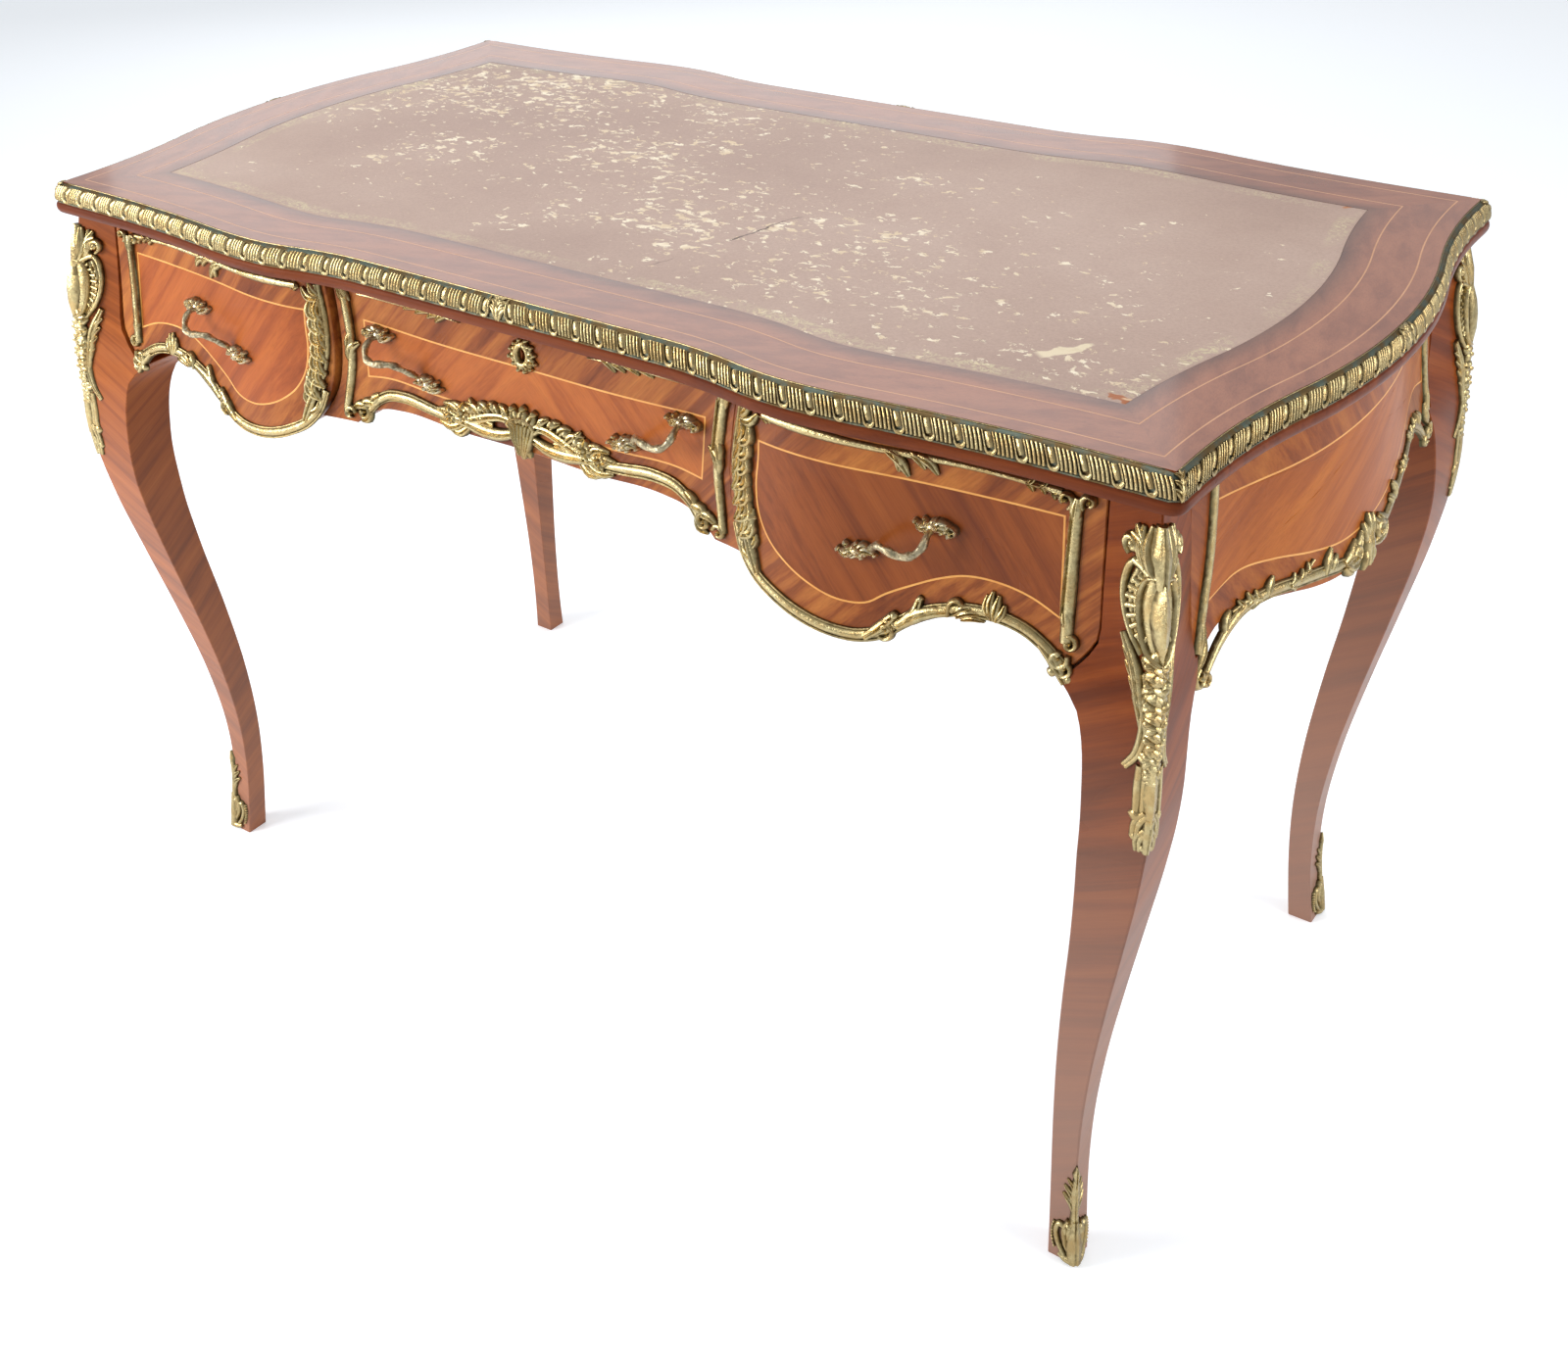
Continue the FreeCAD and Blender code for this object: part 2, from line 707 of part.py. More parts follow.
# Drawer mounts, handles and lock
wing_straps = []
for shares, width in ((wing_mould_shares, mould_width), (wing_leaf_shares, leaf_width),
                      (wing_rod_shares, rod_width), (wing_top_rod_shares, top_rod_width)):
    line = [on_front(wing_point(s)) for s in shares]
    wing_straps.append(strap(line, width, Y_AXIS, front_solid))
wing_mounts = group(wing_straps)
back_wing_mounts = group([wing_straps[0], wing_straps[2]])
centre_straps = []
for side in (-1, 1):
    for shares, width in ((centre_mould_shares, mould_width), (centre_rod_shares, rod_width)):
        line = [on_front(centre_point(s, side), centre_setback) for s in shares]
        centre_straps.append(strap(line, width, Y_AXIS, centre_solid))
cartouche = boss(on_front(centre_point(cartouche_shares), centre_setback),
                 cartouche_half_width, cartouche_half_height, Y_AXIS, centre_solid)
centre_mounts = group(centre_straps + [cartouche])
slot = keyhole_slot_width / 2
key_point = centre_point(keyhole_shares)
keyhole_height = key_point.z
key_way = V(0, far - front_plate_back, 0)
keyhole = plate(round_ring(key_point, keyhole_radius, round_sides), key_way)
keyhole = keyhole.fuse(box(-slot, slot, -far, -front_plate_back,
                           keyhole_height - keyhole_slot, keyhole_height))
escutcheon = boss(on_front(key_point, centre_setback), escutcheon_half_width,
                  escutcheon_half_height, Y_AXIS, centre_solid)
write("drawer_centre_escutcheon", escutcheon.cut(keyhole))
wing_grip = wing_point(wing_handle_shares)
centre_grip = centre_point(centre_handle_shares)
wing_bolts, wing_rooms = bolts(wing_grip, 0)
centre_bolts, centre_rooms = bolts(centre_grip, centre_setback)
wing_pull = handle(wing_grip, 0, front_solid).cut(wing_rooms)
centre_pull = handle(centre_grip, centre_setback, centre_solid)
centre_pull = centre_pull.cut(centre_rooms)
lock_top = keyhole_height + lock_above_key
lock_back = lock_depth - front_plate_back
write("lock_case", box(-lock_width / 2, lock_width / 2, -front_plate_back, lock_back,
                       lock_top - lock_height, lock_top))
bolt_front = -front_plate_back + (lock_depth - bolt_bar_depth) / 2
write("lock_bolt", box(-bolt_bar_width / 2, bolt_bar_width / 2, bolt_front,
                       bolt_front + bolt_bar_depth, lock_top, lock_top + bolt_bar_height))
lock_screws = []
for side in (-1, 1):
    for share in lock_screw_shares:
        at = V(side * lock_screw_x, lock_back, lock_top - lock_height * share)
        lock_screws.append(plate(round_ring(at, lock_screw_radius, round_sides),
                                 V(0, lock_screw_height, 0)))
write("lock_screws", group(lock_screws))

# Drawers
sides, rear, tray = drawer_box(wing_box_inner, wing_box_outer, wing_box_bottom)
wing_drawer = {"front": wing_front.cut(wing_rooms), "sides": group(sides), "back": rear,
               "bottom": tray, "mounts": wing_mounts, "handle": wing_pull,
               "handle_bolts": group(wing_bolts)}
for name, shape in wing_drawer.items():
    write("drawer_right_" + name, shape)
    write("drawer_left_" + name, mirrored_x(shape))
sides, rear, tray = drawer_box(-centre_box_half, centre_box_half, centre_box_bottom)
holes = centre_rooms + [mirrored_x(room) for room in centre_rooms] + [keyhole]
centre_drawer = {"front": centre_front.cut(holes), "sides": group(sides), "back": rear,
                 "bottom": tray, "mounts": centre_mounts,
                 "handles": group([centre_pull, mirrored_x(centre_pull)]),
                 "handle_bolts": group(centre_bolts + [mirrored_x(b) for b in centre_bolts])}
for name, shape in centre_drawer.items():
    write("drawer_centre_" + name, shape)

# Back: three dummy fronts on a board, with the mounts of the front
write("back_panels", group([mirrored_y(wing_front), turned(wing_front), turned(centre_front)]))
write("back_mounts", group([mirrored_y(back_wing_mounts), turned(back_wing_mounts),
                            turned(centre_mounts)]))
write("back_board", box(-post_inner_x, post_inner_x, carcass_back, front_plate_back,
                        apron_top - back_board_share * centre_drop, top_under))

# Carcass members inside
rail_bottom = top_under - top_rail_height
rail_back = top_rail_width - carcass_front
top_rail = box(-post_inner_x, post_inner_x, -carcass_front, rail_back, rail_bottom, top_under)
wing_top = wing_box_bottom - running_gap
divider_in = wing_inner - divider_past_gap
divider_out = divider_in + divider_thickness
divider = box(divider_in, divider_out, -carcass_front, carcass_back,
              wing_top - runner_height, top_under)
divider = divider.cut(top_rail)
centre_top = centre_box_bottom - running_gap
guide_in = wing_box_outer + guide_gap
guide = box(guide_in, guide_in + guide_thickness, -post_inner_y, post_inner_y,
            wing_top - runner_height, wing_top + guide_height)
outer_ledge = ledge(guide_in - guide_ledge, guide_in, wing_top)
runners = [ledge(divider_out, divider_out + runner_width, wing_top),
           ledge(divider_in - runner_width, divider_in, centre_top),
           guide.fuse(outer_ledge).removeSplitter()]
stops = [stop(divider_out, divider_out + stop_length, wing_top),
         stop(divider_in - stop_length, divider_in, centre_top),
         stop(guide_in - guide_ledge, guide_in, wing_top)]
kicker_bottom = top_under - kicker_height
kickers = [box(x, x + kicker_width, rail_back, carcass_back, kicker_bottom, top_under)
           for x in (divider_out, divider_in - kicker_width, post_inner_x - kicker_width)]
blocks = []
for side in (-1, 1):
    middle = side * block_place_share * half_depth
    blocks.append(box(side_back - block_depth, side_back, middle - block_length / 2,
                      middle + block_length / 2, top_under - block_height, top_under))
inside = {"dividers": [divider], "drawer_runners": runners, "drawer_stops": stops,
          "drawer_kickers": kickers, "glue_blocks": blocks}
for name, shapes in inside.items():
    write(name, group(shapes + [mirrored_x(shape) for shape in shapes]))
write("front_top_rail", top_rail)
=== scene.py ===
"""Looks of the serpentine writing desk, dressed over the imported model.

Drawings of the mounts are in millimetres on the unrolled faces; every finished mesh is in
metres in the frame of the model.
"""
import math
import random

import bpy
import numpy as np
from mathutils import Euler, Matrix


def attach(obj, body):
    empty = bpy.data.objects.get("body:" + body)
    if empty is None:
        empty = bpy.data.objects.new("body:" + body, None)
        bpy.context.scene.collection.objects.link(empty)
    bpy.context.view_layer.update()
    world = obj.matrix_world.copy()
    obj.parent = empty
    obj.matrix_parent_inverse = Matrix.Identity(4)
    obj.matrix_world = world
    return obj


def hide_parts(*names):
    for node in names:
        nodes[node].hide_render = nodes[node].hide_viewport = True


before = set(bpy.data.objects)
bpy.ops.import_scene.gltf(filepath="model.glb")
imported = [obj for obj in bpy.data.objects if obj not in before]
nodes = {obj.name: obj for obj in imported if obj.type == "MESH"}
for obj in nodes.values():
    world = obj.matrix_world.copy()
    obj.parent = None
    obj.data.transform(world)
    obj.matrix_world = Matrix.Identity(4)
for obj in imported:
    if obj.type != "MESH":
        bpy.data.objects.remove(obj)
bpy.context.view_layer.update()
bpy.ops.object.select_all(action="DESELECT")
random.seed(7)

# Sizes, in millimetres: faces of the top board, then the backs of the fronts and ends
MM = 0.001
TOP, UNDER = 780.0, 752.0
FRONT_PLATE, SIDE_PLATE = -268.0, 545.0
# Edges of the top: how far out they start, where their bends end, how deep they sway, and the
# radii of the long edge
LONG_BASE, SHORT_BASE, TROUGH, BOW_LENGTH = 300.0, 605.4, 285.0, 282.0
SWAY, SIDE_SWAY = 14.0, 35.4
CROWN, HOLLOW, SHOULDER, SWEEP = 351.0, 227.0, 450.0, 1478.0
# Legs: the arris and the width of its round, then the foot and inner corner of the upper block
LEG_X, LEG_Y, DIAGONAL, ARRIS_WIDTH = 568.0, 302.0, 0.7071, 9.0
BLOCK_FOOT, BLOCK_X, BLOCK_Y = 612.0, 508.0, 242.0
# Fronts: how much the edge is eased, and half the width of the inlaid line
EASE, INLAY = .8, .75
# Rim: length, foot and start of its round with its half axes, then its limits and its repeats
RIM_ROUND, RIM_FOOT, RIM_START, RIM_HIGH, RIM_DEEP = 20.0, 763.0, .6, 16.2, 7.2
RIM_TOP, RIM_GROWTH, FIRST_UNIT, UNIT, SLANT = 779.9, 10.0, 13.0, 22.2, 1.1
LONG_POINTS, SHORT_POINTS = 400, 200
# Where the mitres of the border point to, in metres
MITRE_X, MITRE_Y = .5686, .2986
RIGHT, LEFT, BACK_RIGHT, BACK_LEFT = (1, 1, 1), (-1, 1, 1), (1, -1, 1), (-1, -1, 1)
COLOURS = ("Color", "Light", "Mid", "Dark", "Bright", "Deep", "Green")


# Plan of the faces
def bends(start, arcs, base):
    """Start, base and the centre, bend and heading of each arc of half an edge."""
    along, out, heading, found = start, base, 0.0, []
    for radius, turn in arcs:
        bend = math.copysign(radius, turn)
        centre = (along - bend * math.sin(heading), out + bend * math.cos(heading))
        heading += turn
        along = centre[0] + bend * math.sin(heading)
        out = centre[1] - bend * math.cos(heading)
        found.append((centre, bend, heading))
    return start, base, found


RISE, FALL = (math.acos(1 - SWAY / radii) for radii in (CROWN + HOLLOW, SHOULDER + SWEEP))
BOW = 2 * math.atan(SIDE_SWAY / BOW_LENGTH)
BOW_RADIUS = BOW_LENGTH / 2 / math.sin(BOW)
LONG = bends(TROUGH - (CROWN + HOLLOW) * math.sin(RISE),
             ((CROWN, RISE), (HOLLOW, -RISE), (SHOULDER, -FALL), (SWEEP, FALL)), LONG_BASE)
SHORT = bends(0.0, ((BOW_RADIUS, -BOW), (BOW_RADIUS, BOW)), SHORT_BASE)
SWELL = np.polyfit((570.06, 659.94, 760.06), (-7.0, 5.5, 15.0), 2)


def reach(edge, along, grow):
    """How far out an edge lies, moved outwards by grow."""
    start, base, arcs = edge
    along = np.abs(np.asarray(along, float))
    out, low = base + grow + 0 * along, start
    for centre, bend, heading in arcs:
        radius = bend - grow
        inside = np.maximum(radius ** 2 - (along - centre[0]) ** 2, 0)
        out = np.where(along >= low, centre[1] - np.sign(bend) * np.sqrt(inside), out)
        low = centre[0] + radius * np.sin(heading)
    return np.where(along > low, centre[1] - radius * np.cos(heading), out)


def corner(grow):
    """The corner of the plan moved outwards by grow, found in a few rounds."""
    x, y = 570.0 + grow, 300.0 + grow
    for _ in range(12):
        x = float(reach(SHORT, y, grow))
        y = float(reach(LONG, x, grow))
    return x, y


def outline(grow, soft=1.0, long_count=96, short_count=48):
    """Closed plan of the top moved outwards by grow, its corners eased by soft."""
    x, y = corner(grow)
    xs = np.linspace(-1, 1, long_count) * (x - soft)
    ys = np.linspace(-1, 1, short_count) * (y - soft)
    front = np.stack([xs, -reach(LONG, xs, grow)], 1)
    right = np.stack([reach(SHORT, ys, grow), ys], 1)
    runs = []
    for run, knee, after in ((front, (x, -y), right), (right, (x, y), -front)):
        t = np.linspace(0, 1, 6)[1:-1, None]
        ease = (1 - t) ** 2 * run[-1] + 2 * t * (1 - t) * np.array(knee) + t ** 2 * after[0]
        runs.append(np.concatenate([run, ease]))
    half = np.concatenate(runs)
    return np.concatenate([half, -half])


def off_face(edge, u, w, h):
    """Along, out and up of a point at u and w that stands off a swelling face by h."""
    def depth(along, height):
        return reach(edge, along, -np.polyval(SWELL, height))
    slope_u = (depth(u + 1, w) - depth(u - 1, w)) / 2
    slope_w = (depth(u, w + 1) - depth(u, w - 1)) / 2
    size = np.sqrt(1 + slope_u ** 2 + slope_w ** 2)
    return u - h * slope_u / size, depth(u, w) + h / size, w - h * slope_w / size


def face_front(u, w, h, setback=0.0):
    """A point of the front face at x = u and z = w, standing off it by h."""
    along, out, up = off_face(LONG, u, w, h)
    return np.stack([along, setback - out, up], -1)


def face_centre(u, w, h):
    return face_front(u, w, h, 5.0)


def face_side(u, w, h):
    """A point of the right-hand end at y = u and z = w, standing off it by h."""
    along, out, up = off_face(SHORT, u, w, h)
    return np.stack([out, along, up], -1)


def low_end(u, w, h):
    """The face of an end with its relief kept a little lower."""
    return face_side(u, w, h * .92)


def smooth(rows, count):
    """Points of an even curve through rows of numbers."""
    rows = np.array(rows, float)
    if len(rows) == 2:
        return rows[0] + np.linspace(0, 1, count)[:, None] * (rows[1] - rows[0])
    knots = np.concatenate([[0], np.cumsum(np.linalg.norm(np.diff(rows, axis=0), axis=1))])
    slopes = np.gradient(rows, knots, axis=0)
    at = np.linspace(0, knots[-1], count)
    i = np.clip(np.searchsorted(knots, at, side="right") - 1, 0, len(rows) - 2)
    gap = (knots[i + 1] - knots[i])[:, None]
    t = ((at - knots[i])[:, None]) / gap
    return ((2 * t ** 3 - 3 * t ** 2 + 1) * rows[i] + (t ** 3 - 2 * t ** 2 + t) * gap * slopes[i]
            + (3 * t ** 2 - 2 * t ** 3) * rows[i + 1] + (t ** 3 - t ** 2) * gap * slopes[i + 1])


# Rows of height, how far the arris swells out there, and the leg's width
LEG_LINE = smooth([(0, -19, 25.5), (29.87, -23, 24.5), (79.825, -28, 24), (149.865, -29.5, 26),
                   (219.905, -24, 30.5), (300.245, -12, 36.7), (380.07, 2, 42.5),
                   (450.11, 13.5, 49), (515, 19.5, 54.5), (575, 16.5, 60), (612, 13.5, 73),
                   (680, 6.5, 76), (752, -6, 76)], 400)


def fall_back(height):
    """How fast the front and the outer side of a leg fall back from its arris."""
    return (np.interp(height, (470, 500, 520, 560, 584, 606, 625, 645, 670, 690, 710, 752),
                      (0, .045, .070, .095, .115, .160, .225, .275, .298, .303, .297, .256)),
            np.interp(height, (480, 600, 645, 752), (0, .053, .165, .110)))


def face_leg(u, w, h):
    """A point of the right-hand front leg: u from the arris, along the front where positive."""
    swell = np.interp(w, LEG_LINE[:, 0], LEG_LINE[:, 1])
    flare = np.where(u > 0, *fall_back(w))
    size = np.sqrt(1 + flare ** 2)
    away = np.abs(u)
    near = np.clip(away / ARRIS_WIDTH, 0, 1)
    near = near * near * (3 - 2 * near)
    run_x = np.where(u > 0, -1, -flare) / size
    run_y = np.where(u > 0, flare, 1) / size
    out_x = near * np.where(u > 0, -flare, 1) / size + (1 - near) * DIAGONAL
    out_y = near * np.where(u > 0, -1, flare) / size - (1 - near) * DIAGONAL
    length = np.sqrt(out_x ** 2 + out_y ** 2)
    return np.stack([LEG_X + swell + away * run_x + h * out_x / length,
                     -LEG_Y - swell + away * run_y + h * out_y / length, w + 0 * u], -1)


def knee_face(u, w, h):
    """The leg's face, narrower on its side, flatter where the leg swells most."""
    return face_leg(u * np.where(u > 0, 1, .8), w, h * np.interp(w, (560, 610), (.5, 1)))


# Ways of making
def active():
    return bpy.context.view_layer.objects.active


def only(*pieces):
    bpy.ops.object.select_all(action="DESELECT")
    for piece in pieces:
        piece.select_set(True)
    bpy.context.view_layer.objects.active = pieces[0]


def joined(name, *pieces):
    only(*pieces)
    bpy.ops.object.join()
    pieces[0].name = pieces[0].data.name = name
    return pieces[0]


def put(mesh, points):
    mesh.vertices.foreach_set("co", np.asarray(points, np.float32).ravel())
    mesh.update()


def points_of(mesh):
    found = np.empty(len(mesh.vertices) * 3, np.float32)
    mesh.vertices.foreach_get("co", found)
    return found.reshape(-1, 3).astype(float)


def marked(piece, name, values):
    """Gives each point of a piece its own value."""
    made = piece.data.attributes.new(name, "FLOAT", "POINT")
    made.data.foreach_set("value", np.asarray(values, np.float32))


def turned_outwards():
    """Turns the active piece's faces outwards."""
    bpy.ops.object.mode_set(mode="EDIT")
    bpy.ops.mesh.select_all(action="SELECT")
    bpy.ops.mesh.normals_make_consistent(inside=False)
    bpy.ops.object.mode_set(mode="OBJECT")


def drawn_up(name, rings, slots=(0,)):
    """A shape extruded ring by ring from its first outline, each ring put in its place."""
    count = len(rings[0])
    bpy.ops.object.select_all(action="DESELECT")
    bpy.ops.mesh.primitive_circle_add(vertices=count, fill_type="NGON")
    piece = active()
    piece.name = piece.data.name = name
    bpy.ops.object.mode_set(mode="EDIT")
    bpy.ops.mesh.select_mode(type="FACE")
    bpy.ops.mesh.select_all(action="SELECT")
    for _ in rings[1:]:
        bpy.ops.mesh.extrude_region_move(TRANSFORM_OT_translate={"value": (0, 0, 1)})
    bpy.ops.object.mode_set(mode="OBJECT")
    start = points_of(piece.data)
    turn = np.round(np.mod(np.arctan2(start[:, 0], start[:, 1]), 2 * math.pi)
                    / (2 * math.pi) * count).astype(int) % count
    level = np.round(start[:, 2]).astype(int)
    put(piece.data, np.stack([np.asarray(r, float) for r in rings])[level, turn])
    if len(slots) > 1:
        for face in piece.data.polygons:
            ring = min(level[v] for v in face.vertices)
            face.material_index = slots[min(ring, len(slots) - 1)]
    turned_outwards()
    return piece


def cut_out(piece, shape, near, far):
    """Cuts a shape drawn on the front out of a piece, from one depth to another."""
    cutter = drawn_up("cutter", [np.array([(x, y, z) for x, z in shape]) * MM
                                 for y in (near, far)])
    only(piece)
    cut = piece.modifiers.new("cut", "BOOLEAN")
    cut.operation, cut.solver, cut.object = "DIFFERENCE", "EXACT", cutter
    bpy.ops.object.modifier_apply(modifier="cut")
    bpy.data.objects.remove(cutter)


def softened(piece, angle):
    only(piece)
    bpy.ops.object.shade_smooth_by_angle(angle=math.radians(angle))
    return piece


def copied(piece, name, flip=RIGHT):
    """A copy with its own mesh, mirrored on the planes where flip is negative."""
    other = piece.copy()
    other.data = piece.data.copy()
    other.name = other.data.name = name
    bpy.context.collection.objects.link(other)
    put(other.data, points_of(other.data) * np.array(flip))
    if flip[0] * flip[1] * flip[2] < 0:
        other.data.flip_normals()
    return other


SECTIONS = {
    "leaf": ((-1, -.35), (-.97, .35), (-.66, .92), (-.3, 1), (0, .62), (.3, 1), (.66, .92),
             (.97, .35), (1, -.35)),
    "rod": ((-1, -.35), (-.92, .45), (-.5, .93), (0, 1.05), (.5, .93), (.92, .45), (1, -.35)),
    "reed": ((-1, -.35), (-1, .4), (-.88, .72), (-.68, .7), (-.58, .42), (-.42, .82),
             (-.1, 1), (.3, .98), (.58, .72), (.68, .5), (.8, .66), (.93, .6), (1, .3),
             (1, -.35)),
}
bars = {}


def bar(kind, count):
    """A straight bar of unit length with a moulded section, made once for each use."""
    if (kind, count) not in bars:
        rings = [[(i / count, v, k) for v, k in SECTIONS[kind]] for i in range(count + 1)]
        piece = drawn_up("bar_%s_%d" % (kind, count), rings)
        marked(piece, "rise", points_of(piece.data)[:, 2])
        bars[kind, count] = piece
    return bars[kind, count]


def stroke(kind, line, widths, heights, count=8):
    """One bar of an ornament: its line on the drawing, its widths and its heights."""
    widths, heights = (values if np.ndim(values) else (values, values)
                       for values in (widths, heights))
    return kind, np.array(line, float).reshape(-1, 2), widths, heights, count


def leaf(*given):
    return stroke("leaf", *given)


def rod(*given):
    return stroke("rod", *given)


def reed(*given):
    return stroke("reed", *given)


def spread(share, values):
    """The value at each share of the way along evenly spaced values."""
    return np.interp(share, np.linspace(0, 1, len(values)), values)


def seat(name, strokes, place):
    """All the strokes of a mount bent along their lines, laid on a face and joined."""
    pieces = []
    for kind, line, widths, heights, count in strokes:
        piece = copied(bar(kind, count), name)
        unit = points_of(piece.data)
        curve = smooth(line, 4 * count + 1)
        tangent = np.gradient(curve, axis=0)
        tangent /= np.maximum(np.linalg.norm(tangent, axis=1)[:, None], 1e-9)
        s = unit[:, 0]
        middle = np.stack([spread(s, curve[:, i]) for i in (0, 1)], -1)
        across = np.stack([-spread(s, tangent[:, 1]), spread(s, tangent[:, 0])], -1)
        flat = middle + across * (unit[:, 1] * spread(s, widths) / 2)[:, None]
        lift = np.maximum(unit[:, 2] * spread(s, heights), -1.0)
        put(piece.data, place(flat[:, 0], flat[:, 1], lift) * MM)
        pieces.append(piece)
    whole = joined(name, *pieces)
    turned_outwards()
    return softened(whole, 50)


def blade(start, tip, width, height, curl=0.0, count=6):
    """A single pointed leaf from start to tip, bowed sideways by curl of its length."""
    a, b = np.array(start, float), np.array(tip, float)
    run = b - a
    bow = np.array([-run[1], run[0]]) * curl
    return leaf((a, a + run * .5 + bow, b),
                (width * .6, width, width * 1.05, width * .85, width * .35),
                (height * .75, height, height, height * .85, height * .5), count)


def blades(*rows):
    """Blades from rows of start, tip, width, height and, where given, curl and count."""
    return [blade(row[:2], row[2:4], *row[4:]) for row in rows]


def bead(x, z, radius, height, stretch=1.0):
    """A round knob, drawn out along the face by stretch."""
    return rod([x - radius * stretch, z, x + radius * stretch, z],
               (radius * .4, radius * 1.7, radius * 2, radius * 1.7, radius * .4),
               (height * .3, height * .85, height, height * .85, height * .3), 6)


def beads(*rows):
    return [bead(*row) for row in rows]


def acanthus(line, width, height, pairs=5):
    """A leafy spray: a rib with blades leaning forward from it, growing shorter to the tip."""
    curve = smooth(line, 40)
    last = len(curve) - 1
    made = [rod(line, (width * .34, width * .3, width * .16), (height, height * .6), 10)]
    for i in range(pairs):
        share = (i + .15) / (pairs + .3)
        at = int(share * last)
        ahead = curve[min(at + 2, last)] - curve[max(at - 2, 0)]
        ahead /= np.linalg.norm(ahead)
        for side in (1, -1):
            out = np.array([-ahead[1], ahead[0]]) * side
            size = width * .5 * (1 - .4 * share)
            tip = curve[at] + ahead * size * .9 + out * size
            made.append(blade(curve[at] - ahead * size * .2, tip, size * .86,
                              height * random.uniform(.8, 1.1), -.16 * side, 5))
    return made


def scroll(x, z, radius, start, sweep, width, height, eye=.35):
    """A C-scroll that winds in to its eye from the angle start over sweep, in degrees."""
    turns = np.radians(start + np.linspace(0, 1, 9) * sweep)
    radii = radius * np.linspace(1, eye, 9)
    line = np.stack([x + radii * np.cos(turns), z + radii * np.sin(turns)], 1)
    return [rod(line, (width * .7, width, width * .8, width * .9), height, 14),
            bead(x, z, radius * eye * .8, height * 1.3)]


def flower(x, z, radius, height, turn):
    """Five petals round a bead."""
    made = [bead(x, z, radius * .32, height * 1.2)]
    for i in range(5):
        t = turn + i * 2 * math.pi / 5
        out = (math.cos(t), math.sin(t))
        made.append(blade((x + radius * .2 * out[0], z + radius * .2 * out[1]),
                          (x + radius * out[0], z + radius * out[1]),
                          radius * .95, height, random.uniform(-.1, .1), 5))
    return made


def mirrored(strokes):
    """The same strokes on the other side of the drawing's middle."""
    return [(kind, line * np.array([-1, 1]), *given) for kind, line, *given in strokes]


# Drawings of the mounts
WING_EDGE = [(223, 750.5), (218.5, 715), (217, 682), (223, 648), (240, 621), (272, 597.5),
             (318, 582.8), (350, 586.5), (376, 603), (404, 624), (440, 631.6), (474, 626),
             (507, 609.5), (515.5, 620.5), (520.8, 628.3), (526.2, 638.8), (526.8, 650),
             (524.2, 677), (522.2, 705), (520.2, 735), (519.4, 750.5)]
WING_LINE = [(246.5, 717), (246.5, 702), (245.5, 684), (250, 660), (261, 643), (279, 629),
             (300, 619), (325, 613.5), (349, 617), (362, 626.5), (384, 639.5), (402, 649),
             (422, 656.5), (449, 658.5), (473, 655), (497, 646), (494, 684), (491, 720),
             (431, 719), (369, 718), (307, 716.6)]
WING_MOULD = [(228, 646), (236, 628), (250, 613), (272, 601), (298, 592), (322, 588.5),
              (345, 590), (363, 597), (378, 609), (393, 620), (412, 628), (432, 633), (452, 634),
              (474, 630), (490, 622), (503, 613)]


